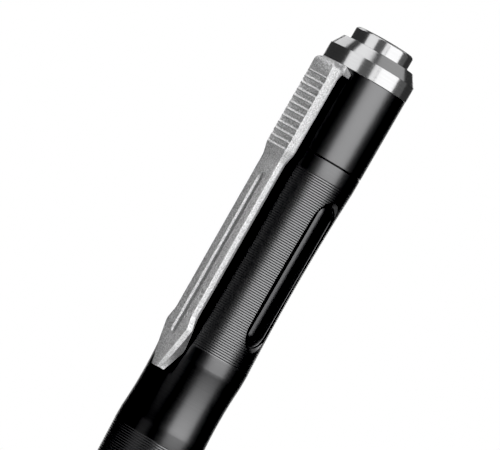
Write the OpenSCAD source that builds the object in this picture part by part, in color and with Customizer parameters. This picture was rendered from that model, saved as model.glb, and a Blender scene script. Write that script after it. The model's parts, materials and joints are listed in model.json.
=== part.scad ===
// Slim penlight for two AAA cells: a steel push button and bezel at the tail, a ringed
// aluminium tube with pill-shaped grip pockets, a metal pocket clip and a lensed head.
// Millimetres. The origin is the centre of the head's front face, and +Z runs along the
// barrel to the tail. The clip lies on the -Y side.

/* [Cells] */
// Outer diameter of one cell over its sleeve
cell_d = 10.5; // [9.8:0.1:10.8]
// Length of one cell over its positive cap
cell_l = 44.5; // [40:0.1:48]
// Diameter of a cell's positive cap
cell_cap_d = 3.6; // [3:0.1:4.4]
// Height of a cell's positive cap
cell_cap_h = 1; // [0.8:0.1:1.3]
// Thickness of a cell's sleeve
cell_sleeve_t = 0.15; // [0.1:0.01:0.25]
// Radial clearance of the cells in the tube
cell_clear = 0.15; // [0.08:0.01:0.2]

/* [Tube] */
// Diameter of the smooth bands on the tube
band_d = 13.76; // [13.5:0.02:16]
// Height of the smooth bands at the ends of the grips
band_h = 2.15; // [1.5:0.05:3]
// Height of the smooth band between the waist and the front grip
waist_band_h = 2; // [1.5:0.05:3]
// Length of the waist between the two grips
waist_l = 10.6; // [6:0.1:13]
// Depth of the waist's curve at its middle
waist_sag = 0.2; // [0.05:0.05:0.4]
// Number of turned rings on each grip
ring_count = 88; // [40:1:100]
// Depth of the groove between two rings
ring_depth = 0.1; // [0.04:0.01:0.15]
// Depth of each grip's curve at its middle
grip_sag = 0.35; // [0.05:0.05:0.5]
// Chamfer at the edges of the seams
seam_chamfer = 0.15; // [0.05:0.05:0.3]

/* [Grip pockets] */
// Number of pockets round the rear grip
pocket_count = 3; // [1:1:3]
// Length of a pocket
pocket_l = 23.7; // [12:0.1:28]
// Height of a pocket's middle above the middle of the rear grip
pocket_rise = 0.45; // [0:0.05:1]
// Width of a pocket
pocket_w = 4.44; // [3.6:0.02:5]
// Wall left between a pocket's floor and the cells' bore
pocket_wall = 0.4; // [0.3:0.05:0.6]
// Bare floor left round the inlay in a pocket
inlay_gap = 1; // [0.6:0.05:1.2]
// Height of an inlay's crown above the floor
inlay_h = 0.38; // [0.2:0.02:0.5]

/* [Threads and seals] */
// Outer diameter of the threads on the tube's necks
thread_d = 12.3; // [12.2:0.05:12.4]
// Pitch of the threads
thread_pitch = 0.75; // [0.6:0.05:0.9]
// Depth of the threads
thread_depth = 0.3; // [0.2:0.02:0.34]
// Radial clearance in the threads
thread_clear = 0.1; // [0.05:0.01:0.15]
// Length of each threaded neck
neck_l = 5.6; // [5:0.1:7]
// Room left past the end of a neck
neck_gap = 0.2; // [0.1:0.05:0.4]
// Thickness of the O-rings
oring_t = 0.5; // [0.4:0.05:0.55]
// Depth of the O-ring grooves below the thread's crest
oring_groove_depth = 0.35; // [0.3:0.01:0.4]
// Extra width of the O-ring grooves
oring_slack = 0.3; // [0.2:0.05:0.4]
// Land between a seam and its O-ring groove
oring_land = 0.35; // [0.3:0.05:0.5]
// Clearance of an O-ring in its groove and in its bore
seal_clear = 0.03; // [0.02:0.01:0.05]
// Plain length between an O-ring groove and the thread
thread_lead = 0.4; // [0.3:0.05:0.5]
// Chamfer at the end of a neck
neck_chamfer = 0.4; // [0.2:0.05:0.5]

/* [Tail cap] */
// Diameter of the tail cap
cap_d = 13.8; // [13.6:0.05:16]
// Length of the tail cap
cap_l = 13.1; // [12.6:0.1:17]
// Diameter of the steel bezels and of the head
bezel_d = 14; // [13.8:0.05:16]
// Height of the straight band on the tail bezel
tail_band_h = 2.4; // [2:0.1:4]
// Height of the chamfers on both bezels
chamfer_h = 1.75; // [1:0.05:2.5]
// Width of the chamfers on both bezels
chamfer_w = 1.1; // [0.6:0.05:1.5]
// Thickness of the tail bezel's lip over the button
tail_lip_t = 2.8; // [2:0.1:3.2]
// Outer diameter of the tail bezel's threaded skirt
skirt_d = 11.4; // [11.2:0.05:11.5]

/* [Button and switch] */
// Diameter of the button
button_d = 9.56; // [9:0.02:9.7]
// Height of the button above the bezel
button_proud = 2.2; // [1.6:0.1:3]
// Travel of the button
button_travel = 1.4; // [0.8:0.1:1.6]
// Radius of the button's top edge
button_edge_r = 0.45; // [0.2:0.05:0.8]
// Width of the flange that keeps the button in
button_flange_w = 0.37; // [0.25:0.01:0.4]
// Thickness of that flange
button_flange_t = 0.8; // [0.5:0.1:1]
// Thickness of the button's crown
button_crown_t = 1.25; // [0.8:0.05:1.6]
// Radial clearance of the button in the bezel
button_clear = 0.08; // [0.05:0.01:0.1]
// Diameter of the stem under the button
stem_d = 4.4; // [3:0.1:5]
// Diameter of the rubber boot's dome
boot_d = 7.4; // [7:0.1:7.6]
// Thickness of the boot's rubber
boot_t = 0.6; // [0.4:0.05:0.7]
// Diameter of the switch housing
housing_d = 10.4; // [9.6:0.1:10.8]
// Height of the switch housing
housing_h = 2.8; // [2.6:0.1:3.4]
// Height of the housing's neck round the plunger
housing_neck_h = 0.4; // [0.3:0.05:0.6]
// Diameter of the plunger
plunger_d = 4.6; // [4.2:0.1:4.8]
// Width of the plunger's foot flange
plunger_foot_w = 0.4; // [0.3:0.05:0.5]
// Thickness of the plunger's foot flange
plunger_foot_t = 0.4; // [0.3:0.05:0.5]
// Thickness of the plunger's roof
plunger_roof_t = 0.7; // [0.5:0.05:0.9]
// Thickness of the switch's base plate
base_t = 0.6; // [0.4:0.05:0.8]
// Width of the base plate's seat in the housing
base_seat_w = 1.2; // [0.6:0.1:1.4]
// Thickness of the moving contact ring
contact_t = 0.2; // [0.1:0.05:0.3]
// Diameter of a terminal pin
terminal_d = 0.6; // [0.4:0.05:0.7]
// Distance between the two terminal pins
terminal_span = 4.6; // [4.4:0.05:4.8]
// Diameter of the switch's circuit board
board_d = 12; // [11.4:0.1:12.2]
// Thickness of the switch's circuit board
board_t = 0.8; // [0.6:0.1:1.2]
// Height of the ring that retains the board
retainer_h = 1; // [0.8:0.1:1.4]
// Inner diameter of the ring that retains the board
retainer_bore = 9.4; // [8.4:0.1:10]
// Width of the spanner slots in the retaining ring
spanner_w = 1.2; // [0.8:0.1:1.8]

/* [Springs] */
// Length of the tail spring when the cap is home
tail_spring_l = 6; // [5.9:0.1:8]
// Wire diameter of the tail spring
tail_wire_d = 0.6; // [0.4:0.05:0.65]
// Turns of the tail spring
tail_turns = 5; // [3:1:5]
// Mean radius of the tail spring at the board
tail_spring_wide_r = 3.6; // [3.4:0.1:4]
// Mean radius of the tail spring at the cell
tail_spring_tip_r = 2.5; // [2:0.1:3]
// Wire diameter of the switch spring
switch_wire_d = 0.3; // [0.2:0.05:0.35]
// Turns of the switch spring
switch_turns = 4; // [3:1:4]
// Mean radius of the switch spring
switch_spring_r = 1.35; // [1.1:0.05:1.4]

/* [Clip] */
// Gap between the tail cap and the clip's underside
clip_gap = 1.45; // [1:0.05:2.5]
// Gap between the clip's nose and the tube
nose_gap = 0.3; // [0.2:0.05:0.6]
// Thickness of the thumb pad
pad_t = 2.29; // [1.8:0.01:3]
// Width of the thumb pad
pad_w = 3.75; // [3:0.05:5]
// Length of the thumb pad
pad_l = 14.75; // [13:0.05:18]
// Rounding of the pad's upper outer edge
pad_edge_r = 0.95; // [0.3:0.05:1]
// Number of thumb serrations
serration_count = 11; // [5:1:11]
// Spacing of the serrations
serration_pitch = 1.08; // [0.9:0.01:1.08]
// Width of a serration at the pad's face
serration_w = 0.62; // [0.4:0.02:0.8]
// Depth of a serration
serration_depth = 0.2; // [0.1:0.02:0.3]
// Distance from the pad's top to the first serration
serration_start = 3; // [2:0.1:3.2]
// Length of the slope from the pad down to the blade
slope_l = 1.4; // [1:0.1:2.5]
// Width of the blade
blade_w = 3.23; // [2.6:0.01:3.6]
// Thickness of the blade
blade_t = 1.57; // [1:0.01:1.75]
// Length of the blade
blade_l = 25.8; // [20:0.1:30]
// Drop of the blade towards the tube over its length
blade_drop = 0.3; // [0.1:0.05:0.5]
// Width of the groove along the blade
groove_w = 1.03; // [0.6:0.01:1.4]
// Depth of the groove along the blade
groove_depth = 0.45; // [0.2:0.05:0.6]
// Distance from the top of the blade to the groove
groove_start = 3.2; // [2:0.1:5]
// Reach of the groove into the nose
groove_reach = 2.7; // [0.5:0.1:3]
// Length of the nose
nose_l = 8.7; // [7.5:0.1:11]
// Width of the nose at its shoulders
nose_w = 4; // [3.8:0.05:5]
// Distance from the blade to the nose's shoulders
nose_shoulder = 1.9; // [1:0.1:2.4]
// Distance from the blade to where the nose comes closest to the tube
nose_foot = 5; // [4.4:0.1:5.8]
// Length of the flat where the nose comes closest to the tube
nose_land = 0.8; // [0.4:0.1:1.2]
// Width of the nose's end, at its outer face
tip_w = 1.1; // [0.8:0.05:1.5]
// Width of the nose's end, at its foot
tip_foot_w = 2.27; // [1.6:0.01:2.8]
// Thickness of the nose's end
tip_t = 1.1; // [0.8:0.05:1.4]
// Width of the clip's claw
claw_w = 5.2; // [4.4:0.1:6]
// Height of the clip's claw
claw_h = 1.4; // [1.2:0.05:1.6]
// Height of the clip's collar ring
collar_h = 1; // [0.7:0.05:1.1]
// Outer diameter of the clip's collar ring
collar_d = 12.7; // [12.4:0.05:12.8]

/* [Head] */
// Height of the straight band on the head bezel
head_band_h = 2.7; // [2:0.1:4]
// Diameter of the head bezel's opening
opening_d = 9.4; // [8.6:0.1:10]
// Thickness of the head bezel's lip
head_lip_t = 1.05; // [0.8:0.05:1.3]
// Length of the head bezel's threaded skirt
head_skirt_l = 3.5; // [2.5:0.1:4]
// Outer diameter of the head bezel's threaded skirt
head_skirt_d = 12.6; // [12.4:0.05:12.8]
// Diameter of the lens
lens_d = 11.2; // [10.8:0.05:11.3]
// Thickness of the lens
lens_t = 1.2; // [0.8:0.1:1.6]
// Thickness of the lens gasket
gasket_t = 0.6; // [0.4:0.05:0.8]
// Length of the reflector
reflector_l = 7.5; // [6.5:0.1:8]
// Diameter of the reflector's mouth
mouth_d = 10.4; // [9.8:0.1:10.6]
// Diameter of the reflector's hole for the LED
led_hole_d = 3.8; // [3.4:0.05:4.2]
// Wall of the reflector
reflector_wall = 0.45; // [0.3:0.05:0.5]
// Thickness of the reflector's front rim
reflector_rim_t = 0.8; // [0.6:0.1:1.2]
// Thickness of the ring that centres the LED
spacer_t = 0.8; // [0.75:0.05:1.2]
// Diameter of the ring that centres the LED
spacer_d = 6.8; // [6.4:0.1:7]
// Side of the LED package
led_w = 3.45; // [3:0.05:3.6]
// Height of the LED package
led_h = 0.65; // [0.4:0.05:0.7]
// Diameter of the LED's dome
led_dome_d = 2.9; // [2.2:0.1:3]
// Thickness of the LED's board
led_board_t = 1; // [0.8:0.1:1.6]
// Diameter of the LED's board
led_board_d = 10; // [9.8:0.1:10.6]
// Diameter of the pill that carries the LED and the driver
pill_d = 11.7; // [11.5:0.05:11.9]
// Length of the pill
pill_l = 5.3; // [5.1:0.1:6.5]
// Thickness of the pill's floor under the LED
pill_floor_t = 1.5; // [1:0.1:1.6]
// Diameter of the pill's cavity
pill_cavity_d = 9.2; // [9.1:0.05:9.4]
// Diameter of the driver board
driver_d = 10.5; // [10.2:0.05:10.6]
// Thickness of the driver board
driver_t = 1; // [0.8:0.1:1.2]
// Depth of the driver board inside the pill's rim
driver_inset = 0.2; // [0.1:0.05:0.4]
// Height of the driver's contact
driver_contact_h = 1.5; // [1.3:0.1:2]
// Diameter of the driver's contact
driver_contact_d = 3.2; // [2.6:0.1:4]
// Diameter of the driver's contact at its foot
driver_contact_foot_d = 4.8; // [4.2:0.1:6]
// Thickness of that foot
driver_contact_foot_t = 0.4; // [0.2:0.1:0.8]
// Diameter of the driver's inductor
inductor_d = 2.8; // [2:0.1:3.2]
// Height of the driver's inductor
inductor_h = 1.5; // [1:0.1:2]
// Thickness of the inductor's flanges
inductor_flange_t = 0.3; // [0.2:0.05:0.45]
// Diameter of the inductor's winding
inductor_core_d = 1.8; // [1.2:0.1:1.9]
// Distance of the inductor from the axis
inductor_offset = 1.7; // [1.5:0.1:2.2]
// Diameter of the leads from the driver to the LED
lead_d = 0.8; // [0.5:0.05:0.85]
// Distance between the two leads
lead_span = 8.2; // [8.1:0.05:8.3]
// Height of the stop inside the head that holds the pill
stop_h = 2.75; // [2:0.05:3.5]
// Bore through that stop
stop_bore_d = 11.2; // [11:0.05:11.3]
// Number of cooling grooves round the head
fin_count = 3; // [0:1:3]
// Spacing of the cooling grooves
fin_pitch = 2; // [1.6:0.1:2]
// Width of a cooling groove
fin_w = 1; // [0.6:0.1:1.2]
// Depth of a cooling groove
fin_depth = 0.45; // [0.2:0.05:0.5]
// Smooth length of the head behind its bezel
head_smooth_l = 8.6; // [8:0.1:9]

/* [Fits] */
// Gap between faces that seat on each other with play
seat_gap = 0.05; // [0.03:0.01:0.08]
// Radial clearance of pieces that slip into a bore
slip_clear = 0.1; // [0.05:0.01:0.12]

/* [Hidden] */
$fn = 64;

// Overshoot of every cut past the face that it opens
cut = 0.5;

// Radii
cell_r = cell_d / 2;
can_r = cell_r - cell_sleeve_t;
tube_bore = cell_r + cell_clear;
band_r = band_d / 2;
cap_r = cap_d / 2;
bezel_r = bezel_d / 2;
thread_r = thread_d / 2;
thread_bore = thread_r + thread_clear;
groove_r = thread_r - oring_groove_depth;
oring_r = groove_r + seal_clear + oring_t / 2;
seal_bore = oring_r + oring_t / 2 + seal_clear;
button_r = button_d / 2;
flange_r = button_r + button_flange_w;
skirt_r = skirt_d / 2;
skirt_bore = flange_r + slip_clear;
button_hole = button_r + button_clear;
bezel_bore = skirt_r + thread_clear;
collar_r = collar_d / 2;
collar_bore = skirt_r + slip_clear;
boot_r = boot_d / 2;
boot_inner_r = boot_r - boot_t;
button_cavity_r = boot_r + slip_clear;
housing_r = housing_d / 2;
housing_neck_r = boot_inner_r - slip_clear;
plunger_r = plunger_d / 2;
plunger_foot_r = plunger_r + plunger_foot_w;
plunger_bore = switch_spring_r + switch_wire_d / 2 + slip_clear;
housing_guide = plunger_r + slip_clear;
housing_cavity_r = plunger_foot_r + 2 * slip_clear;
base_r = housing_cavity_r + base_seat_w;
head_skirt_r = head_skirt_d / 2;
lens_bore = lens_d / 2 + slip_clear;
pill_r = pill_d / 2;
pill_bore = pill_r + slip_clear;
pocket_floor = tube_bore + pocket_wall;

// Places along the barrel, from the head's front face
z_lip = head_lip_t;
z_lens = z_lip + gasket_t;
z_reflector = z_lens + lens_t;
z_spacer = z_reflector + reflector_l;
z_led_board = z_spacer + spacer_t;
z_pill = z_led_board + led_board_t;
z_pill_end = z_pill + pill_l;
z_driver_rear = z_pill_end - driver_inset;
z_driver = z_driver_rear - driver_t;
z_stop_end = z_pill_end + stop_h;
z_cells = z_driver_rear + driver_contact_h;
z_rear_cell = z_cells + cell_l;
z_cells_end = z_rear_cell + cell_l;
z_head_bezel_end = chamfer_h + head_band_h;
z_head_seam = z_stop_end + neck_gap + neck_l;
z_board = z_cells_end + tail_spring_l;
z_retainer = z_board - retainer_h;
z_tail_seam = z_retainer - neck_gap - neck_l;
z_front_grip = z_head_seam + band_h;
grip_l = (z_tail_seam - z_head_seam - 3 * band_h - waist_band_h - waist_l) / 2;
ring_pitch = grip_l / ring_count;
z_waist_band = z_front_grip + grip_l;
z_waist = z_waist_band + waist_band_h;
z_grip_band = z_waist + waist_l;
z_rear_grip = z_grip_band + band_h;
z_collar_band = z_rear_grip + grip_l;
z_shoulder = z_board + board_t;
z_base_top = z_shoulder + base_t;
z_ledge = z_shoulder + housing_h;
z_skirt = z_ledge + boot_t;
z_cap_top = z_tail_seam + cap_l;
z_rebate = z_cap_top - collar_h - seat_gap;
z_claw = z_rebate + collar_h - claw_h;
z_bezel_top = z_cap_top + tail_band_h + chamfer_h;
z_tail_lip = z_bezel_top - tail_lip_t;
z_button_top = z_bezel_top + button_proud;
z_flange = z_tail_lip - seat_gap - button_flange_t;
z_button_ceiling = z_button_top - button_crown_t;
z_terminal_top = z_base_top + seat_gap;
z_contact = z_terminal_top + seat_gap + button_travel;
z_plunger = z_contact + contact_t;
z_housing_ceiling = z_plunger + plunger_foot_t + seat_gap;
z_housing_neck = max(z_ledge, z_housing_ceiling) + housing_neck_h;
z_plunger_top = z_housing_neck + button_travel + 2 * seat_gap;
z_plunger_ceiling = z_plunger_top - plunger_roof_t;
z_boot_ceiling = z_plunger_top + seat_gap;
z_boot_top = z_boot_ceiling + boot_t;
z_stem = z_boot_top + seat_gap;

// Places and radii of the clip, from its top down to its nose
clip_in = cap_r + clip_gap;
z_clip_top = z_cap_top - 6 * seat_gap;
z_pad_end = z_clip_top - pad_l;
z_blade = z_pad_end - slope_l;
z_nose = z_blade - blade_l;
z_nose_shoulder = z_nose - nose_shoulder;
z_nose_foot = z_nose - nose_foot;
z_tip = z_nose - nose_l;
arm_in = clip_in + seat_gap;
pad_out = arm_in + pad_t;
blade_out = arm_in + blade_t;
nose_out = blade_out - blade_drop;
nose_in = nose_out - blade_t;
nose_foot_r = band_r + nose_gap;
blade_slope = atan(blade_drop / blade_l);

// Seats shared by the tube, the tail cap and the head
oring_groove_end = oring_land + oring_t + oring_slack;
seal_l = oring_groove_end + thread_lead + seat_gap;
thread_start = oring_groove_end + thread_lead;
thread_turns = floor((neck_l - thread_start - neck_chamfer) / thread_pitch);
led_focus = (pow(mouth_d, 2) - pow(led_hole_d, 2)) / (16 * reflector_l);
inlay_w = pocket_w - 2 * inlay_gap;
inlay_l = pocket_l - 2 * inlay_gap;
inlay_r = (pow(inlay_w / 2, 2) + pow(inlay_h, 2)) / (2 * inlay_h);

// Chips on the driver board, each as its length, width, height and place across the board
chips = [[2.6, 2.2, 0.9, -0.6, -1.6], [1.2, 0.7, 0.5, 2.4, -1.4], [1.2, 0.7, 0.5, -2.6, 1.2]];

// Turned profiles, as [radius, height] points

// Points of one ringed grip that starts at a height, in order up the barrel
function grip_points(start) = [
    for (i = [0 : ring_count - 1], side = [-0.3, 0, 0.3])
        let (along = (i + 0.5 + side) / ring_count)
        [
            band_r - grip_sag * 4 * along * (1 - along) - (side == 0 ? ring_depth : 0),
            start + along * grip_l
        ]
];

// Points of the waist's curve, between its two corners
function waist_points(steps = 20) = [
    for (i = [0 : steps])
        let (along = i / steps)
        [band_r - waist_sag * 4 * along * (1 - along), z_waist + along * waist_l]
];

// Points of a threaded neck as [radius, distance from the seam], outwards from the seam
function neck_points() = concat(
    [
        [thread_r, 0],
        [thread_r, oring_land],
        [groove_r, oring_land],
        [groove_r, oring_groove_end],
        [thread_r, oring_groove_end]
    ],
    [
        for (i = [0 : thread_turns - 1], step = [[0, 0.05], [1, 0.5], [0, 0.95]])
            [thread_r - thread_depth * step[0], thread_start + (i + step[1]) * thread_pitch]
    ],
    [[thread_r, neck_l - neck_chamfer], [thread_r - neck_chamfer, neck_l]]
);

// Points of the reflector's bowl at each step from its back to its mouth, moved out by a wall
function bowl_points(wall, depth, steps = 16) = [
    for (i = [0 : steps])
        let (ahead = depth * i / steps)
        [
            sqrt(pow(led_hole_d / 2, 2) + 4 * led_focus * ahead) + wall,
            z_spacer - ahead
        ]
];

// A list in the opposite order
function backwards(list) = [for (i = [len(list) - 1 : -1 : 0]) list[i]];

// Points of a coil's centre line, from its first end to its last
function coil_points(turns, r_low, r_high, low, high, rings = 8) = [
    for (i = [0 : turns * rings])
        let (along = i / (turns * rings), turn = 360 * turns * along)
        let (r = r_low + (r_high - r_low) * along)
        [r * cos(turn), r * sin(turn), low + (high - low) * along]
];

// Least distance between the surfaces of a coil's neighbouring turns
function coil_gap(points, wire, rings = 8) = min([
    for (i = [0 : len(points) - rings - 1], near = [rings - 1 : rings + 1])
        if (i + near < len(points)) norm(points[i] - points[i + near]) - wire
]);

tail_coil = coil_points(
    tail_turns, tail_spring_tip_r, tail_spring_wide_r,
    z_cells_end + tail_wire_d / 2 + seat_gap, z_board - tail_wire_d / 2 - seat_gap
);
switch_coil = coil_points(
    switch_turns, switch_spring_r, switch_spring_r,
    z_base_top + switch_wire_d / 2 + seat_gap, z_plunger_ceiling - switch_wire_d / 2 - seat_gap
);
echo(tail_spring_gap = coil_gap(tail_coil, tail_wire_d));
echo(switch_spring_gap = coil_gap(switch_coil, switch_wire_d));

// Shared shapes

// A plain ring between two heights
module ring(outer, inner, low, high) {
    rotate_extrude() polygon([[inner, low], [outer, low], [outer, high], [inner, high]]);
}

// A plain disc between two heights
module disc(radius, low, high) {
    translate([0, 0, low]) cylinder(r = radius, h = high - low);
}

// A round wire along the points of an upright coil, as one closed tube
module coil(points, wire, sides = 6) {
    last = len(points) - 1;
    rings = [
        for (i = [0 : last])
            let (ahead = points[min(i + 1, last)] - points[max(i - 1, 0)])
            let (along = ahead / norm(ahead))
            let (out = cross(along, [0, 0, 1]) / norm(cross(along, [0, 0, 1])))
            let (up = cross(out, along))
            [
                for (k = [0 : sides - 1])
                    points[i] + wire / 2 * (cos(360 * k / sides) * out + sin(360 * k / sides) * up)
            ]
    ];
    walls = [
        for (i = [0 : last - 1], k = [0 : sides - 1])
            let (a = i * sides + k, b = i * sides + (k + 1) % sides)
            each [[a, b, a + sides], [b, b + sides, a + sides]]
    ];
    first_cap = [for (k = [1 : sides - 2]) [0, k + 1, k]];
    last_cap = [for (k = [1 : sides - 2]) [0, k, k + 1] + last * sides * [1, 1, 1]];
    polyhedron(
        points = [for (section = rings) each section],
        faces = concat(walls, first_cap, last_cap)
    );
}

// A pill outline, standing along Y
module pill_outline(length, width) {
    square([width, length - width], center = true);
    for (side = [-1, 1])
        translate([0, side * (length - width) / 2]) circle(d = width);
}

// Children turned to each pocket's place round the rear grip, a quarter turn from the clip
module at_pockets() {
    for (i = [0 : pocket_count - 1])
        rotate([0, 0, 360 * i / pocket_count])
            translate([0, 0, z_rear_grip + grip_l / 2 + pocket_rise])
                rotate([90, 0, 90]) children();
}

// The seat of an O-ring seal and thread inside a socket, from its open end
module socket(depth) {
    disc(seal_bore, -cut, seal_l);
    disc(thread_bore, seal_l - cut, depth);
}

// Tail

module tail_button() {
    color("silver") rotate_extrude() {
        polygon([
            [0, z_stem], [stem_d / 2, z_stem],
            [stem_d / 2, z_button_ceiling], [button_cavity_r, z_button_ceiling],
            [button_cavity_r, z_flange], [flange_r, z_flange],
            [flange_r, z_flange + button_flange_t], [button_r, z_flange + button_flange_t],
            [button_r, z_button_top - button_edge_r],
            [button_r - button_edge_r, z_button_top], [0, z_button_top]
        ]);
        translate([button_r - button_edge_r, z_button_top - button_edge_r]) intersection() {
            circle(r = button_edge_r);
            square(button_edge_r);
        }
    }
}

module tail_bezel() {
    color("silver") rotate_extrude() polygon([
        [skirt_bore, z_skirt], [skirt_r, z_skirt],
        [skirt_r, z_cap_top], [bezel_r, z_cap_top],
        [bezel_r, z_cap_top + tail_band_h], [bezel_r - chamfer_w, z_bezel_top],
        [button_hole, z_bezel_top], [button_hole, z_tail_lip],
        [skirt_bore, z_tail_lip]
    ]);
}

module tail_cap() {
    color("#1c1c1e") difference() {
        rotate_extrude() polygon([
            [0, z_tail_seam], [cap_r - seam_chamfer, z_tail_seam],
            [cap_r, z_tail_seam + seam_chamfer], [cap_r, z_cap_top], [0, z_cap_top]
        ]);
        translate([0, 0, z_tail_seam]) socket(z_shoulder - z_tail_seam);
        disc(housing_r + slip_clear, z_shoulder - cut, z_ledge);
        disc(bezel_bore, z_ledge, z_cap_top + cut);
        disc(collar_r + slip_clear, z_rebate, z_cap_top + cut);
        translate([-claw_w / 2 - slip_clear, -cap_r - cut, z_claw - slip_clear])
            cube([claw_w + 2 * slip_clear, cap_r + cut - bezel_bore, z_cap_top]);
    }
}

module clip_collar() {
    color("#8c8c90") {
        ring(collar_r, collar_bore, z_rebate, z_rebate + collar_h);
        difference() {
            translate([-claw_w / 2, -clip_in, z_claw])
                cube([claw_w, clip_in - collar_bore, claw_h]);
            disc(collar_r - slip_clear, z_claw - cut, z_cap_top);
        }
    }
}

// The clip's arm seen from the side, as a slab across its whole width
module clip_side() {
    rotate([90, 0, 90]) linear_extrude(height = 2 * nose_w, center = true) difference() {
        polygon([
            [-arm_in, z_clip_top], [-pad_out, z_clip_top],
            [-pad_out, z_pad_end], [-blade_out, z_blade], [-nose_out, z_nose],
            [-nose_out, z_nose_foot], [-nose_out + (blade_t - tip_t) / 2, z_tip],
            [-nose_out + (blade_t - tip_t) / 2 + tip_t, z_tip],
            [-nose_foot_r, z_nose_foot - nose_land / 2], [-nose_foot_r, z_nose_foot + nose_land / 2],
            [-nose_in, z_nose], [-arm_in, z_blade]
        ]);
        translate([-pad_out, z_clip_top]) difference() {
            square(2 * pad_edge_r, center = true);
            translate([pad_edge_r, -pad_edge_r]) circle(r = pad_edge_r);
        }
    }
}

// The clip's outline seen from in front, with its own width at the nose's shoulders and end
module clip_front(shoulder_z, end_w, inner, outer) {
    right = [
        [pad_w / 2, z_clip_top + cut], [pad_w / 2, z_pad_end], [blade_w / 2, z_blade],
        [blade_w / 2, z_nose], [nose_w / 2, shoulder_z], [end_w / 2, z_tip]
    ];
    left = [for (p = backwards(right)) [-p[0], p[1]]];
    translate([0, -inner, 0]) rotate([90, 0, 0])
        linear_extrude(height = outer - inner) polygon(concat(right, left));
}

module clip_arm() {
    serration_r = (pow(serration_w / 2, 2) + pow(serration_depth, 2)) / (2 * serration_depth);
    groove_l = blade_l - groove_start + groove_reach;
    color("#8c8c90") difference() {
        intersection() {
            clip_side();
            union() {
                clip_front(z_nose_shoulder, tip_w, nose_in, pad_out + cut);
                clip_front(z_nose_foot, tip_foot_w, cap_r, nose_in);
            }
        }
        for (i = [0 : serration_count - 1])
            translate([
                0, -pad_out - serration_r + serration_depth,
                z_clip_top - serration_start - i * serration_pitch
            ])
                rotate([0, 90, 0]) cylinder(r = serration_r, h = 2 * pad_w, center = true);
        translate([0, -blade_out, z_blade]) rotate([blade_slope, 0, 0])
            translate([0, 0, -groove_start - groove_l]) linear_extrude(height = groove_l)
                polygon([[-groove_w, -groove_depth], [groove_w, -groove_depth], [0, groove_depth]]);
    }
}

module switch_boot() {
    color("#2a2a2a") rotate_extrude() polygon([
        [boot_inner_r, z_ledge], [skirt_r - slip_clear, z_ledge],
        [skirt_r - slip_clear, z_skirt - seat_gap], [boot_r, z_skirt - seat_gap],
        [boot_r, z_boot_top - boot_t], [boot_r - boot_t, z_boot_top], [0, z_boot_top],
        [0, z_boot_ceiling], [boot_inner_r, z_boot_ceiling]
    ]);
}

module switch_plunger() {
    color("#b8b4a8") rotate_extrude() polygon([
        [plunger_bore, z_plunger], [plunger_foot_r, z_plunger],
        [plunger_foot_r, z_plunger + plunger_foot_t], [plunger_r, z_plunger + plunger_foot_t],
        [plunger_r, z_plunger_top], [0, z_plunger_top],
        [0, z_plunger_ceiling], [plunger_bore, z_plunger_ceiling]
    ]);
}

module switch_spring() {
    color("silver") coil(switch_coil, switch_wire_d);
}

module switch_housing() {
    color("#303034") difference() {
        union() {
            disc(housing_r, z_shoulder, z_ledge);
            disc(housing_neck_r, z_ledge - cut, z_housing_neck);
        }
        disc(base_r + seat_gap, z_shoulder - cut, z_base_top);
        disc(housing_cavity_r, z_base_top - cut, z_housing_ceiling);
        disc(housing_guide, z_housing_ceiling - cut, z_housing_neck + cut);
    }
}

// Children at the two terminal pins
module at_terminals() {
    for (side = [-1, 1]) translate([side * terminal_span / 2, 0, 0]) children();
}

module switch_base() {
    color("#d8d2c0") difference() {
        disc(base_r, z_shoulder, z_base_top);
        at_terminals() disc(terminal_d / 2 + seat_gap, z_shoulder - cut, z_base_top + cut);
    }
}

module switch_contact() {
    color("goldenrod") ring(plunger_foot_r, plunger_bore, z_contact, z_plunger);
}

module switch_terminals() {
    color("goldenrod") at_terminals() disc(terminal_d / 2, z_board - base_t / 2, z_terminal_top);
}

module switch_board() {
    color("darkgreen") difference() {
        disc(board_d / 2, z_board, z_shoulder);
        at_terminals() disc(terminal_d / 2 + seat_gap, z_board - cut, z_shoulder + cut);
    }
}

module tail_spring() {
    color("goldenrod") coil(tail_coil, tail_wire_d);
}

module switch_retaining_ring() {
    color("#c8a850") difference() {
        ring(thread_r, retainer_bore / 2, z_retainer, z_board);
        translate([-spanner_w / 2, -thread_bore, z_retainer - cut])
            cube([spanner_w, 2 * thread_bore, cut + retainer_h / 2]);
    }
}

// Barrel

// An O-ring at a height
module o_ring(height) {
    translate([0, 0, height]) rotate_extrude() translate([oring_r, 0]) circle(d = oring_t);
}

module tail_o_ring() {
    color("#202020") o_ring(z_tail_seam + (oring_land + oring_groove_end) / 2);
}

module head_o_ring() {
    color("#202020") o_ring(z_head_seam - (oring_land + oring_groove_end) / 2);
}

module body_tube() {
    front_neck = [for (p = backwards(neck_points())) [p[0], z_head_seam - p[1]]];
    rear_neck = [for (p = neck_points()) [p[0], z_tail_seam + p[1]]];
    color("#1c1c1e") difference() {
        rotate_extrude() polygon(concat(
            [[tube_bore, z_head_seam - neck_l]],
            front_neck,
            [[band_r - seam_chamfer, z_head_seam], [band_r, z_head_seam + seam_chamfer]],
            grip_points(z_front_grip),
            waist_points(),
            grip_points(z_rear_grip),
            [[band_r, z_tail_seam - seam_chamfer], [band_r - seam_chamfer, z_tail_seam]],
            rear_neck,
            [[tube_bore, z_tail_seam + neck_l]]
        ));
        at_pockets() translate([0, 0, pocket_floor])
            linear_extrude(height = band_r) pill_outline(pocket_l, pocket_w);
    }
}

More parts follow.
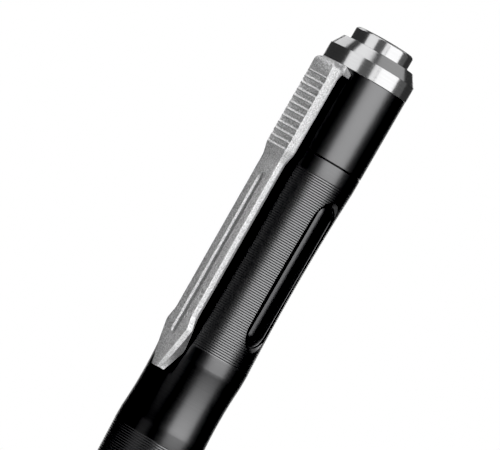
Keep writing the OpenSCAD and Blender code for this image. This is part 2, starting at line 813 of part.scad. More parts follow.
module grip_inlays() {
    straight = inlay_l - inlay_w;
    color("#161618") at_pockets() difference() {
        translate([0, 0, pocket_floor + inlay_h - inlay_r]) {
            rotate([90, 0, 0]) cylinder(r = inlay_r, h = straight, center = true);
            for (side = [-1, 1]) translate([0, side * straight / 2, 0]) sphere(r = inlay_r);
        }
        translate([-2 * inlay_r, -inlay_l, pocket_floor - 3 * inlay_r])
            cube([4 * inlay_r, 2 * inlay_l, 3 * inlay_r]);
    }
}

// Cells, each with its positive cap towards the head

module cell_can(start) {
    color("#b0b0b4") disc(can_r, start + cell_cap_h, start + cell_l);
}

module cell_sleeve(start) {
    color("#3a4a5c") ring(cell_r, can_r, start + cell_cap_h, start + cell_l - cell_cap_h);
}

module cell_cap(start) {
    color("silver") disc(cell_cap_d / 2, start, start + cell_cap_h);
}

module rear_cell_can() cell_can(z_rear_cell);
module rear_cell_sleeve() cell_sleeve(z_rear_cell);
module rear_cell_cap() cell_cap(z_rear_cell);
module front_cell_can() cell_can(z_cells);
module front_cell_sleeve() cell_sleeve(z_cells);
module front_cell_cap() cell_cap(z_cells);

// Head

module head_shell() {
    z_skirt_seat = z_head_bezel_end + head_skirt_l + slip_clear;
    color("#1c1c1e") difference() {
        rotate_extrude() polygon([
            [0, z_head_bezel_end], [bezel_r, z_head_bezel_end],
            [bezel_r, z_head_seam - seam_chamfer], [bezel_r - seam_chamfer, z_head_seam],
            [0, z_head_seam]
        ]);
        disc(head_skirt_r + slip_clear, z_head_bezel_end - cut, z_skirt_seat);
        disc(pill_bore, z_skirt_seat - cut, z_pill_end);
        disc(stop_bore_d / 2, z_pill_end - cut, z_stop_end + cut);
        translate([0, 0, z_head_seam]) mirror([0, 0, 1]) socket(z_head_seam - z_stop_end);
        for (i = [0 : 1 : fin_count - 1])
            let (z_fin = z_head_bezel_end + head_smooth_l + i * fin_pitch)
            ring(bezel_r + cut, bezel_r - fin_depth, z_fin, z_fin + fin_w);
    }
}

module head_bezel() {
    color("silver") rotate_extrude() polygon([
        [opening_d / 2, 0], [bezel_r - chamfer_w, 0],
        [bezel_r, chamfer_h], [bezel_r, z_head_bezel_end],
        [head_skirt_r, z_head_bezel_end], [head_skirt_r, z_head_bezel_end + head_skirt_l],
        [lens_bore, z_head_bezel_end + head_skirt_l], [lens_bore, z_lip],
        [opening_d / 2, z_lip]
    ]);
}

module lens() {
    color([0.8, 0.9, 1, 0.4]) disc(lens_d / 2, z_lens, z_reflector);
}

module lens_gasket() {
    color("#303030") ring(lens_d / 2, opening_d / 2 + seat_gap, z_lip, z_lens);
}

module reflector() {
    rim_r = lens_d / 2;
    bowl = bowl_points(0, reflector_l);
    outside = bowl_points(reflector_wall, reflector_l - reflector_rim_t);
    color("gainsboro") rotate_extrude() polygon(concat(
        bowl,
        [[rim_r, z_reflector], [rim_r, z_reflector + reflector_rim_t]],
        backwards(outside)
    ));
}

module led_spacer() {
    hole = led_w + 2 * slip_clear;
    color("white") difference() {
        disc(spacer_d / 2, z_spacer, z_led_board);
        translate([-hole / 2, -hole / 2, z_spacer - cut]) cube([hole, hole, spacer_t + 2 * cut]);
    }
}

module led_package() {
    color("khaki") translate([-led_w / 2, -led_w / 2, z_led_board - led_h])
        cube([led_w, led_w, led_h]);
}

module led_dome() {
    z_dome = z_led_board - led_h;
    color([1, 0.95, 0.7, 0.6]) difference() {
        translate([0, 0, z_dome]) sphere(d = led_dome_d);
        disc(led_dome_d, z_dome, z_dome + led_dome_d);
    }
}

// Children at the two leads, either side of the LED
module at_leads() {
    for (side = [-1, 1]) translate([0, side * lead_span / 2, 0]) children();
}

module led_board() {
    color("whitesmoke") difference() {
        disc(led_board_d / 2, z_led_board, z_pill);
        at_leads() disc(lead_d / 2 + seat_gap, z_led_board - cut, z_pill + cut);
    }
}

module led_pill() {
    color("#c8a850") difference() {
        disc(pill_r, z_pill, z_pill_end);
        disc(pill_cavity_d / 2, z_pill + pill_floor_t, z_pill_end + cut);
        disc(driver_d / 2 + seat_gap, z_driver, z_pill_end + cut);
        at_leads() disc(lead_d / 2 + seat_gap, z_pill - cut, z_pill + pill_floor_t + cut);
    }
}

module driver_board() {
    color("darkgreen") disc(driver_d / 2, z_driver, z_driver_rear);
}

module driver_inductor() {
    z_far_flange = z_driver - inductor_h + inductor_flange_t;
    color("#404044") translate([0, inductor_offset, 0]) {
        disc(inductor_d / 2, z_driver - inductor_flange_t, z_driver);
        disc(inductor_core_d / 2, z_far_flange, z_driver - inductor_flange_t);
        disc(inductor_d / 2, z_driver - inductor_h, z_far_flange);
    }
}

module driver_chips() {
    color("#28282a") for (chip = chips)
        translate([chip[3] - chip[0] / 2, chip[4] - chip[1] / 2, z_driver - chip[2]])
            cube([chip[0], chip[1], chip[2]]);
}

module led_leads() {
    color("firebrick") at_leads() disc(lead_d / 2, z_led_board - seat_gap, z_driver);
}

module driver_contact() {
    color("goldenrod") {
        disc(driver_contact_foot_d / 2, z_driver_rear, z_driver_rear + driver_contact_foot_t);
        disc(driver_contact_d / 2, z_driver_rear, z_cells);
    }
}

tail_button();
tail_bezel();
clip_collar();
clip_arm();
tail_cap();
switch_boot();
switch_plunger();
switch_spring();
switch_housing();
switch_base();
switch_contact();
switch_terminals();
switch_board();
tail_spring();
switch_retaining_ring();
tail_o_ring();
body_tube();
grip_inlays();
rear_cell_can();
rear_cell_sleeve();
rear_cell_cap();
front_cell_can();
front_cell_sleeve();
front_cell_cap();
head_shell();
head_o_ring();
head_bezel();
lens();
lens_gasket();
reflector();
led_spacer();
led_package();
led_dome();
led_board();
led_pill();
driver_board();
driver_inductor();
driver_chips();
led_leads();
driver_contact();
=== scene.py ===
"""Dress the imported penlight: turned steel tail, ringed black tube, blasted clip, lens and studio.

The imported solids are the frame. Places along the barrel come from their boxes, and sizes that a
box can't give are fields of the class that needs them. Lengths are millimetres until a mesh is
made. The barrel's axis is Z, the head is at the bottom and the clip lies on the -Y side.
"""
import sys
import json
import logging
import math
from dataclasses import dataclass, field
from enum import Enum
from typing import Any, NamedTuple

import bmesh
import bpy
from bmesh.types import BMEdge, BMesh, BMVert
from bpy.types import Material, Mesh, Node, NodeSocket, NodeTree, Object
from mathutils import Matrix, Vector


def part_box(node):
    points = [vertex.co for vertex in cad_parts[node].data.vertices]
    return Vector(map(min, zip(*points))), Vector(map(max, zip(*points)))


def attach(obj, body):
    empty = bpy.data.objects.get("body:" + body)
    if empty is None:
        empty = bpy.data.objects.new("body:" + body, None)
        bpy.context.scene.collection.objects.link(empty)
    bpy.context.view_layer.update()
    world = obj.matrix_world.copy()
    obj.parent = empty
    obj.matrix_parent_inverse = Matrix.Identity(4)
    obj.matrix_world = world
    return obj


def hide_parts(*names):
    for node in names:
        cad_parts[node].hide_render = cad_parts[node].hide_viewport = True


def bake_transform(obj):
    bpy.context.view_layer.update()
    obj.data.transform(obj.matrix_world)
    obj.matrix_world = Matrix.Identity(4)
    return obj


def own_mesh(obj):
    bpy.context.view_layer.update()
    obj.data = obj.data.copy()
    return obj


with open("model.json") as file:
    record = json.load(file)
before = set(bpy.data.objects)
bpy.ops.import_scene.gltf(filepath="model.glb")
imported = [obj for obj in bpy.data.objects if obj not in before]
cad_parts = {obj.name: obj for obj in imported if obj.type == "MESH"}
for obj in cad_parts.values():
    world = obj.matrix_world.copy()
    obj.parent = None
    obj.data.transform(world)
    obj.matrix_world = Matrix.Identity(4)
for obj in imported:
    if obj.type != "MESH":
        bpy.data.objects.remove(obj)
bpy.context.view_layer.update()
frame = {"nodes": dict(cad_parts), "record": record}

MM = 0.001
TINY = 1e-6

# Facets and steps of curved shapes
TURNED_SEGMENTS = 160
TUBE_SEGMENTS = 144
HIDDEN_SEGMENTS = 96
WIRE_SIDES = 12
ARC_STEPS = 5

# Points that keep the flats beside an arc flat, where the flat has room for them
EDGE_SUPPORT = 0.03
SUPPORT_ROOM = 3

# Radii that break the edges of turned pieces, from the finest to the softest
SEAM_R = 0.03
LIP_R = 0.04
EDGE_R = 0.05
END_R = 0.06
RIM_R = 0.07
STEP_R = 0.08
CAVITY_R = 0.1
SOFT_R = 0.12

# Edges sharper than this angle stay sharp in the shading
SHARP_DEGREES = 32.0

# Brings along * (1 - along) to 1 halfway along
BOW_SCALE = 4

log = logging.getLogger("penlight")


# Shared shapes


class Corner(NamedTuple):
    """A corner of a turned outline, with the radius that rounds it."""

    r: float
    z: float
    fillet: float = 0.0


class Span(NamedTuple):
    """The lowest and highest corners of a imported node, in millimetres."""

    low: Vector
    high: Vector


class Cut(Enum):
    """What a carving tool does to the piece that it meets."""

    ADD = "UNION"
    TAKE = "DIFFERENCE"


def span(node: str) -> Span:
    """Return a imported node's box in millimetres."""
    low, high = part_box(node)
    return Span(low / MM, high / MM)


def turned_size(node: str) -> tuple[float, float, float]:
    """Return a turned node's radius, lower end and upper end in millimetres."""
    box = span(node)
    return box.high.x, box.low.z, box.high.z


def rounded(corners: list[Corner], closed: bool) -> list[Vector]:
    """Round the corners of an outline with arcs.

    Args:
        corners: The outline's corners, outside going up and inside going down.
        closed: Whether the last corner joins the first.

    Returns:
        The outline's points, with one close beside each arc so that the flats stay flat.
    """
    points: list[Vector] = []
    last = len(corners) - 1
    for index, corner in enumerate(corners):
        here = Vector((corner.r, corner.z))
        if corner.fillet == 0 or (not closed and index in (0, last)):
            points.append(here)
            continue
        back = Vector(corners[index - 1][:2]) - here
        ahead = Vector(corners[(index + 1) % len(corners)][:2]) - here
        half_turn = back.angle(ahead) / 2
        reach = corner.fillet / math.tan(half_turn)
        back_room, ahead_room = back.length, ahead.length
        back.normalize()
        ahead.normalize()
        centre = here + (back + ahead).normalized() * corner.fillet / math.sin(half_turn)
        first = (here + back * reach - centre).normalized()
        final = (here + ahead * reach - centre).normalized()
        if back_room > SUPPORT_ROOM * reach:
            points.append(here + back * (reach + EDGE_SUPPORT))
        for step in range(ARC_STEPS + 1):
            points.append(centre + first.slerp(final, step / ARC_STEPS) * corner.fillet)
        if ahead_room > SUPPORT_ROOM * reach:
            points.append(here + ahead * (reach + EDGE_SUPPORT))
    return points


def mesh_from(build: BMesh, name: str) -> Mesh:
    """Store a finished bmesh under a name and free it."""
    mesh = bpy.data.meshes.new(name)
    build.to_mesh(mesh)
    build.free()
    return mesh


def bridge(build: BMesh, low: list[BMVert], high: list[BMVert]) -> None:
    """Join two rings of vertices with faces, which are triangles where a ring is a single point."""
    count = len(low)
    for k in range(count):
        n = (k + 1) % count
        around = dict.fromkeys((low[k], low[n], high[n], high[k]))
        if len(around) > 2:
            build.faces.new(around)


def stack(build: BMesh, rings: list[list[BMVert]]) -> None:
    """Join a stack of rings into a solid, with a face at each end."""
    for low, high in zip(rings, rings[1:]):
        bridge(build, low, high)
    build.faces.new(reversed(rings[0]))
    build.faces.new(rings[-1])


def turn_into(build: BMesh, corners: list[Corner], segments: int, closed: bool = True) -> None:
    """Turn an outline about the barrel's axis and add it to a bmesh.

    Args:
        build: The bmesh that takes the faces.
        corners: The outline's corners, outside going up and inside going down.
        segments: Facets round the axis.
        closed: Whether the last corner joins the first.
    """
    turns = [2 * math.pi * k / segments for k in range(segments)]
    rings = []
    for r, z in rounded(corners, closed):
        if r < TINY:
            rings.append([build.verts.new((0, 0, z * MM))] * segments)
            continue
        reach = r * MM
        rings.append([build.verts.new((reach * math.cos(a), reach * math.sin(a), z * MM)) for a in turns])
    pairs = list(zip(rings, rings[1:]))
    if closed:
        pairs.append((rings[-1], rings[0]))
    for low, high in pairs:
        bridge(build, low, high)


def turned(name: str, corners: list[Corner], segments: int = TURNED_SEGMENTS) -> Mesh:
    """Turn one closed outline about the barrel's axis.

    Args:
        name: Name of the mesh.
        corners: The outline's corners, outside going up and inside going down.
        segments: Facets round the axis.

    Returns:
        The closed mesh.
    """
    build = bmesh.new()
    turn_into(build, corners, segments)
    return mesh_from(build, name)


def new_object(name: str, mesh: Mesh) -> Object:
    """Put a mesh in the scene at the origin."""
    piece = bpy.data.objects.new(name, mesh)
    bpy.context.scene.collection.objects.link(piece)
    return piece


def settle(piece: Object) -> None:
    """Turn a piece with modifiers into a plain mesh."""
    depsgraph = bpy.context.evaluated_depsgraph_get()
    mesh = bpy.data.meshes.new_from_object(
        piece.evaluated_get(depsgraph), preserve_all_data_layers=True, depsgraph=depsgraph
    )
    piece.modifiers.clear()
    piece.data = mesh


def carve(piece: Object, tool: Object, cut: Cut) -> None:
    """Add a tool's solid to a piece, or take it away, and remove the tool.

    Args:
        piece: The piece that changes.
        tool: The solid that meets it.
        cut: Whether the solid is added or taken away.
    """
    modifier = piece.modifiers.new("carve", "BOOLEAN")
    modifier.object = tool
    modifier.operation = cut.value
    modifier.solver = "EXACT"
    settle(piece)
    bpy.data.objects.remove(tool)


def shade(piece: Object, degrees: float = SHARP_DEGREES) -> None:
    """Shade a piece smooth, apart from edges sharper than an angle."""
    piece.data.shade_smooth()
    piece.data.set_sharp_from_angle(angle=math.radians(degrees))


# Nodes


def feed(tree: NodeTree, socket: NodeSocket, value: Any) -> None:
    """Link another socket into a socket, or set it to a plain value."""
    if isinstance(value, NodeSocket):
        tree.links.new(value, socket)
    else:
        socket.default_value = value


def add_node(tree: NodeTree, kind: str, inputs: dict[str | int, Any], **settings: Any) -> Node:
    """Add a node to a tree.

    Args:
        tree: The tree that takes the node.
        kind: The node's type.
        inputs: Values or sockets for its inputs, by name or number.
        settings: The node's own properties.

    Returns:
        The new node.
    """
    node = tree.nodes.new(kind)
    for label, value in settings.items():
        setattr(node, label, value)
    for label, value in inputs.items():
        feed(tree, node.inputs[label], value)
    return node


# Finishes


class Grain(Enum):
    """How the fine marks of a finish lie on the surface."""

    TURNED = "rings left by a lathe"
    EVEN = "marks alike in every direction"


@dataclass(frozen=True)
class Finish:
    """A surface finish, as numbers for the shader and its fine marks.

    The grain is a noise of a given size in millimetres. It moves the colour, the roughness and the
    height by the given swings, and a broad noise adds smudges to the roughness.
    """

    colour: tuple[float, float, float]
    roughness: float
    metallic: float = 0.0
    grain: Grain = Grain.EVEN
    grain_size: float = 0.2
    colour_swing: float = 0.08
    roughness_swing: float = 0.06
    height: float = 0.004
    smudge_size: float = 5.0
    smudge_swing: float = 0.04
    transmission: float = 0.0
    ior: float = 1.5
    specular: float = 0.5
    coat: float = 0.0

    NOISE_DETAIL = 3.0
    TINT_STOPS = (0.3, 0.7)

    def material(self, name: str) -> Material:
        """Build the finish as a node material under a name."""
        material = bpy.data.materials.new(name)
        material.use_nodes = True
        tree = material.node_tree
        place = add_node(tree, "ShaderNodeTexCoord", {}).outputs["Object"]
        marks = self._noise(tree, self._along_grain(tree, place), self.grain_size)
        smudges = self._noise(tree, place, self.smudge_size)
        looks = {
            "Metallic": self.metallic, "IOR": self.ior, "Specular IOR Level": self.specular,
            "Transmission Weight": self.transmission, "Coat Weight": self.coat,
            "Base Color": self._tint(tree, marks), "Roughness": self._roughness(tree, marks, smudges),
            "Normal": self._relief(tree, marks),
        }
        for label, value in looks.items():
            feed(tree, tree.nodes["Principled BSDF"].inputs[label], value)
        return material

    def _along_grain(self, tree: NodeTree, place: NodeSocket) -> NodeSocket:
        """Return coordinates that run along the grain's marks."""
        if self.grain is Grain.EVEN:
            return place
        parts = add_node(tree, "ShaderNodeSeparateXYZ", {0: place}).outputs
        across = add_node(tree, "ShaderNodeCombineXYZ", {"X": parts["X"], "Y": parts["Y"]}).outputs[0]
        radius = add_node(tree, "ShaderNodeVectorMath", {0: across}, operation="LENGTH").outputs["Value"]
        return add_node(tree, "ShaderNodeCombineXYZ", {"X": radius, "Z": parts["Z"]}).outputs[0]

    def _noise(self, tree: NodeTree, place: NodeSocket, size: float) -> NodeSocket:
        """Return a noise whose marks are about a size in millimetres."""
        inputs = {"Vector": place, "Scale": 1 / (size * MM), "Detail": self.NOISE_DETAIL}
        return add_node(tree, "ShaderNodeTexNoise", inputs).outputs["Fac"]

    def _tint(self, tree: NodeTree, marks: NodeSocket) -> NodeSocket:
        """Return the base colour, darker and lighter along the marks."""
        ramp = add_node(tree, "ShaderNodeValToRGB", {"Fac": marks})
        for stop, place, swing in zip(ramp.color_ramp.elements, self.TINT_STOPS, (-1, 1)):
            stop.position = place
            stop.color = [min(c * (1 + swing * self.colour_swing), 1.0) for c in self.colour] + [1.0]
        return ramp.outputs["Color"]

    def _roughness(self, tree: NodeTree, marks: NodeSocket, smudges: NodeSocket) -> NodeSocket:
        """Return the roughness, with the marks' and the smudges' swings added."""
        total: NodeSocket | float = self.roughness - self.roughness_swing - self.smudge_swing
        for noise, swing in ((marks, self.roughness_swing), (smudges, self.smudge_swing)):
            inputs = {0: noise, 1: 2 * swing, 2: total}
            step = add_node(tree, "ShaderNodeMath", inputs, operation="MULTIPLY_ADD", use_clamp=True)
            total = step.outputs[0]
        return total

    def _relief(self, tree: NodeTree, marks: NodeSocket) -> NodeSocket:
        """Return the normal, moved by the height of the marks."""
        inputs = {"Distance": self.height * MM, "Height": marks}
        return add_node(tree, "ShaderNodeBump", inputs).outputs["Normal"]


FINISHES: dict[str, Finish] = {
    "polished_steel": Finish(
        (0.50, 0.50, 0.505), 0.17, metallic=1.0, grain=Grain.TURNED, grain_size=0.06, colour_swing=0.05,
        roughness_swing=0.05, height=0.0006, smudge_size=3.0, smudge_swing=0.03,
    ),
    "blasted_clip_metal": Finish(
        (0.64, 0.64, 0.645), 0.36, metallic=1.0, colour_swing=0.34, roughness_swing=0.08, height=0.075,
        smudge_size=4.0, smudge_swing=0.03,
    ),
    "black_anodised": Finish(
        (0.13, 0.13, 0.132), 0.30, metallic=1.0, grain=Grain.TURNED, grain_size=0.05, colour_swing=0.06,
        roughness_swing=0.03, height=0.0004, smudge_size=6.0, smudge_swing=0.02,
    ),
    "black_inlay": Finish(
        (0.085, 0.085, 0.087), 0.30, metallic=1.0, grain_size=0.09, roughness_swing=0.04, height=0.001,
        smudge_swing=0.02,
    ),
    "black_rubber": Finish((0.018, 0.018, 0.018), 0.62, grain_size=0.12, height=0.006, specular=0.35),
    "dark_plastic": Finish((0.028, 0.028, 0.03), 0.48, grain_size=0.15),
    "ivory_plastic": Finish((0.62, 0.57, 0.45), 0.42, grain_size=0.3),
    "white_plastic": Finish((0.82, 0.82, 0.80), 0.40, grain_size=0.3, colour_swing=0.04),
    "spring_steel": Finish(
        (0.56, 0.56, 0.57), 0.26, metallic=1.0, grain=Grain.TURNED, grain_size=0.08, height=0.001
    ),
    "gilt_spring": Finish((0.80, 0.60, 0.27), 0.24, metallic=1.0, grain_size=0.1, height=0.001),
    "brass": Finish(
        (0.74, 0.56, 0.27), 0.28, metallic=1.0, grain=Grain.TURNED, grain_size=0.07, height=0.001
    ),
    "circuit_board": Finish((0.02, 0.13, 0.055), 0.34, grain_size=0.25, colour_swing=0.2),
    "white_mask_board": Finish((0.80, 0.80, 0.79), 0.36, grain_size=0.25, colour_swing=0.03),
    "cell_can": Finish(
        (0.58, 0.58, 0.59), 0.27, metallic=1.0, grain=Grain.TURNED, grain_size=0.1, colour_swing=0.06,
        roughness_swing=0.05, height=0.001,
    ),
    "cell_sleeve": Finish((0.07, 0.11, 0.17), 0.22, grain_size=0.6, colour_swing=0.1, coat=0.4),
    "lens_glass": Finish(
        (0.96, 0.98, 0.985), 0.02, grain_size=0.5, colour_swing=0.0, roughness_swing=0.01, height=0.0,
        smudge_size=4.0, smudge_swing=0.005, transmission=1.0, ior=1.52,
    ),
    "reflector_bright": Finish(
        (0.88, 0.88, 0.885), 0.06, metallic=1.0, grain_size=0.35, colour_swing=0.02, roughness_swing=0.03,
        height=0.001,
    ),
    "led_phosphor": Finish((0.86, 0.70, 0.16), 0.25, grain_size=0.08, colour_swing=0.12, coat=0.5),
    "lead_insulation": Finish((0.42, 0.03, 0.025), 0.38),
    "pale_floor": Finish((0.80, 0.80, 0.80), 0.65, grain_size=3.0, colour_swing=0.01, height=0.01),
}


class Palette:
    """The finishes as materials, each made once under its slot's name."""

    def __init__(self) -> None:
        self.materials = {slot: finish.material(slot) for slot, finish in FINISHES.items()}

    def __getitem__(self, slot: str) -> Material:
        """Return the material of a slot."""
        return self.materials[slot]

    def dress(self, piece: Object, slot: str) -> None:
        """Give a whole piece the material of one slot."""
        piece.data.materials.clear()
        piece.data.materials.append(self[slot])


@dataclass
class Fitter:
    """Fastens finished pieces to the frame and remembers the nodes that they stand for."""

    palette: Palette
    replaced: set[str] = field(default_factory=set)
    pieces: dict[str, list[Object]] = field(default_factory=dict)

    def stand_for(self, piece: Object, slot: str, *nodes: str) -> None:
        """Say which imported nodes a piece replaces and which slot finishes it.

        Args:
            piece: The finished piece.
            slot: The material slot of the record.
            nodes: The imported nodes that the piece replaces.
        """
        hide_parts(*nodes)
        self.replaced.update(nodes)
        self.pieces.setdefault(slot, []).append(piece)
        log.info("%s: %d faces for %s", piece.name, len(piece.data.polygons), ", ".join(nodes))

    def mount(
        self, piece: Object, body: str, slot: str, *nodes: str, sharp: float = SHARP_DEGREES
    ) -> None:
        """Dress a rigid piece, ride it on a body and let it replace nodes.

        Args:
            piece: The finished piece.
            body: The body that carries it.
            slot: The material slot of the record.
            nodes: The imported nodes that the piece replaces.
            sharp: The angle past which an edge shows as an edge.
        """
        self.palette.dress(piece, slot)
        shade(piece, sharp)
        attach(piece, body)
        self.stand_for(piece, slot, *nodes)

    def turn(self, name: str, corners: list[Corner], body: str, slot: str, node: str) -> None:
        """Turn an outline and mount it in place of a node.

        Args:
            name: Name of the piece.
            corners: The outline's corners, outside going up and inside going down.
            body: The body that carries the piece.
            slot: The material slot of the record.
            node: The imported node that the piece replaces.
        """
        self.mount(new_object(name, turned(name, corners)), body, slot, node)

    def dress_rest(self) -> None:
        """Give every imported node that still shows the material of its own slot."""
        for subpart in frame["record"]["subparts"]:
            node = subpart["node"]
            if node not in self.replaced:
                slot = subpart["material_slot"]
                self.palette.dress(frame["nodes"][node], slot)
                self.pieces.setdefault(slot, []).append(frame["nodes"][node])
                log.info("%s: packed solid in %s", node, slot)


# Node recipes


class Recipe:
    """A Geometry Nodes tree that is put together in code, with its sizes as named inputs."""

    SOCKETS = {float: "NodeSocketFloat", int: "NodeSocketInt", Object: "NodeSocketObject"}

    def __init__(self, name: str, sizes: dict[str, type]) -> None:
        """Start a tree with one geometry input and the named sizes."""
        self.tree = bpy.data.node_groups.new(name, "GeometryNodeTree")
        face = self.tree.interface
        face.new_socket("Geometry", in_out="INPUT", socket_type="NodeSocketGeometry")
        face.new_socket("Geometry", in_out="OUTPUT", socket_type="NodeSocketGeometry")
        for label, kind in sizes.items():
            face.new_socket(label, in_out="INPUT", socket_type=self.SOCKETS[kind])
        self.entry = self.tree.nodes.new("NodeGroupInput")
        self.exit = self.tree.nodes.new("NodeGroupOutput")

    def size(self, label: str) -> NodeSocket:
        """Return one of the tree's inputs."""
        return self.entry.outputs[label]

    def node(self, kind: str, inputs: dict[str | int, Any], **settings: Any) -> NodeSocket:
        """Add a node and return its first output.

        Args:
            kind: The node's type.
            inputs: Values or sockets for its inputs, by name or number.
            settings: The node's own properties.

        Returns:
            The new node's first output.
        """
        return add_node(self.tree, kind, inputs, **settings).outputs[0]

    def math(self, operation: str, *values: Any) -> NodeSocket:
        """Return the result of one Math node."""
        return self.node("ShaderNodeMath", dict(enumerate(values)), operation=operation)

    def point(self, x: Any, y: Any, z: Any) -> NodeSocket:
        """Return a vector from three numbers."""
        return self.node("ShaderNodeCombineXYZ", {"X": x, "Y": y, "Z": z})

    def place(self) -> tuple[NodeSocket, ...]:
        """Return the X, Y and Z of the points that the tree works on."""
        position = self.node("GeometryNodeInputPosition", {})
        return tuple(add_node(self.tree, "ShaderNodeSeparateXYZ", {0: position}).outputs)

    def round_axis(self, geometry: NodeSocket, count: NodeSocket) -> NodeSocket:
        """Return instances of a geometry turned about Z in equal steps.

        Args:
            geometry: What is repeated.
            count: How many there are.

        Returns:
            The realized geometry.
        """
        points = self.node("GeometryNodeMeshLine", {"Count": count, "Offset": (0, 0, 0)})
        index = self.node("GeometryNodeInputIndex", {})
        angle = self.math("MULTIPLY", self.math("DIVIDE", index, count), 2 * math.pi)
        copies = self.node(
            "GeometryNodeInstanceOnPoints",
            {"Points": points, "Instance": geometry, "Rotation": self.point(0, 0, angle)},
        )
        return self.node("GeometryNodeRealizeInstances", {0: copies})

    def close(self, geometry: NodeSocket, material: Material) -> None:
        """End the tree with real geometry in one material."""
        real = self.node("GeometryNodeRealizeInstances", {0: geometry})
        dressed = self.node("GeometryNodeSetMaterial", {"Geometry": real, "Material": material})
        self.tree.links.new(dressed, self.exit.inputs[0])

    def grow(self, piece: Object, sizes: dict[str, Any]) -> None:
        """Run the tree on a piece and keep the result as its mesh.

        Args:
            piece: The piece that takes the result.
            sizes: Values for the tree's named inputs.
        """
        modifier = piece.modifiers.new(self.tree.name, "NODES")
        modifier.node_group = self.tree
        for item in self.tree.interface.items_tree:
            if item.in_out == "INPUT" and item.name in sizes:
                modifier[item.identifier] = sizes[item.name]
        settle(piece)


@dataclass
class Coil:
    """A wire or thread that climbs round the axis, from one radius to another."""

    name: str
    turns: float
    low: float
    high: float
    low_r: float
    high_r: float
    wire_r: float
    sides: int
    closed_ends: float

    SIZES = {
        "Turns": float, "Base": float, "Height": float, "Low Radius": float, "High Radius": float,
        "Wire Radius": float, "Sides": int, "Closed Ends": float,
    }
    STEPS_PER_TURN = 40

    def recipe(self, material: Material) -> Recipe:
        """Build the tree: a spiral whose ends can lie flat, swept with a round section."""
        tree = Recipe(f"{self.name}_coil", self.SIZES)
        spiral = tree.node(
            "GeometryNodeCurveSpiral",
            {
                "Resolution": self.STEPS_PER_TURN, "Rotations": tree.size("Turns"),
                "Start Radius": tree.size("Low Radius"), "End Radius": tree.size("High Radius"),
                "Height": tree.size("Height"), "Reverse": False,
            },
        )
        x, y, z = tree.place()
        along = tree.math("DIVIDE", z, tree.size("Height"))
        eased = tree.node("ShaderNodeMapRange", {"Value": along}, interpolation_type="SMOOTHSTEP")
        change = tree.math("MULTIPLY", tree.math("SUBTRACT", eased, along), tree.size("Closed Ends"))
        climb = tree.math("MULTIPLY", tree.math("ADD", along, change), tree.size("Height"))
        lifted = tree.point(x, y, tree.math("ADD", climb, tree.size("Base")))
        moved = tree.node("GeometryNodeSetPosition", {"Geometry": spiral, "Position": lifted})
        upright = tree.node("GeometryNodeSetCurveNormal", {"Curve": moved}, mode="Z_UP")
        section = tree.node(
            "GeometryNodeCurvePrimitiveCircle",
            {"Resolution": tree.size("Sides"), "Radius": tree.size("Wire Radius")},
        )
        swept = tree.node(
            "GeometryNodeCurveToMesh",
            {"Curve": upright, "Profile Curve": section, "Fill Caps": True},
        )
        tree.close(swept, material)
        return tree

    def grow(self, material: Material) -> Object:
        """Make the coil as a plain mesh in a material."""
        piece = new_object(self.name, bpy.data.meshes.new(self.name))
        self.recipe(material).grow(
            piece,
            {
                "Turns": self.turns, "Base": self.low * MM, "Height": (self.high - self.low) * MM,
                "Low Radius": self.low_r * MM, "High Radius": self.high_r * MM,
                "Wire Radius": self.wire_r * MM, "Sides": self.sides, "Closed Ends": self.closed_ends,
            },
        )
        return piece


# Barrel


@dataclass
class Neck:
    """A threaded neck of the tube, measured outwards from its seam."""

    thread_r: float = 6.15
    core_r: float = 5.86
    groove_r: float = 5.8
    groove_start: float = 0.35
    groove_end: float = 1.15
    thread_start: float = 1.55
    thread_lead: float = 0.25
    thread_pitch: float = 0.75
    thread_turns: float = 4.0
    length: float = 5.6
    end_break: float = 0.12

    RIDGE_SIDES = 4

    def corners(self, seam: float, outwards: int, bore: float) -> list[Corner]:
        """Return the neck's outline from its seam to its bore.

        Args:
            seam: Place of the seam along the barrel.
            outwards: 1 for a neck that points to the tail, -1 for one that points to the head.
            bore: Radius of the tube's bore.

        Returns:
            The corners in order from the seam to the end of the neck.
        """
        steps = [
            (self.thread_r, 0.0, STEP_R), (self.thread_r, self.groove_start, LIP_R),
            (self.groove_r, self.groove_start, END_R), (self.groove_r, self.groove_end, END_R),
            (self.thread_r, self.groove_end, LIP_R), (self.thread_r, self.thread_start, EDGE_R),
            (self.core_r, self.thread_start + self.thread_lead, 0.0),
            (self.core_r, self.length - self.end_break, 0.0),
            (self.core_r - self.end_break, self.length, 0.0),
            (bore, self.length, EDGE_R),
        ]
        return [Corner(r, seam + outwards * out, fillet) for r, out, fillet in steps]

    def thread(self, name: str, seam: float, outwards: int, material: Material) -> Object:
        """Make the helical ridge of the thread.

        Args:
            name: Name of the ridge.
            seam: Place of the seam along the barrel.
            outwards: 1 for a neck that points to the tail, -1 for one that points to the head.
            material: The ridge's material.

        Returns:
            The ridge's object.
        """
        ridge_r = self.thread_r - self.core_r
        start = seam + outwards * (self.thread_start + self.thread_pitch / 2)
        end = start + outwards * self.thread_turns * self.thread_pitch
        low, high = sorted((start, end))
        ridge = Coil(
            name, self.thread_turns, low, high, low_r=self.core_r, high_r=self.core_r, wire_r=ridge_r,
            sides=self.RIDGE_SIDES, closed_ends=0.0,
        )
        return ridge.grow(material)


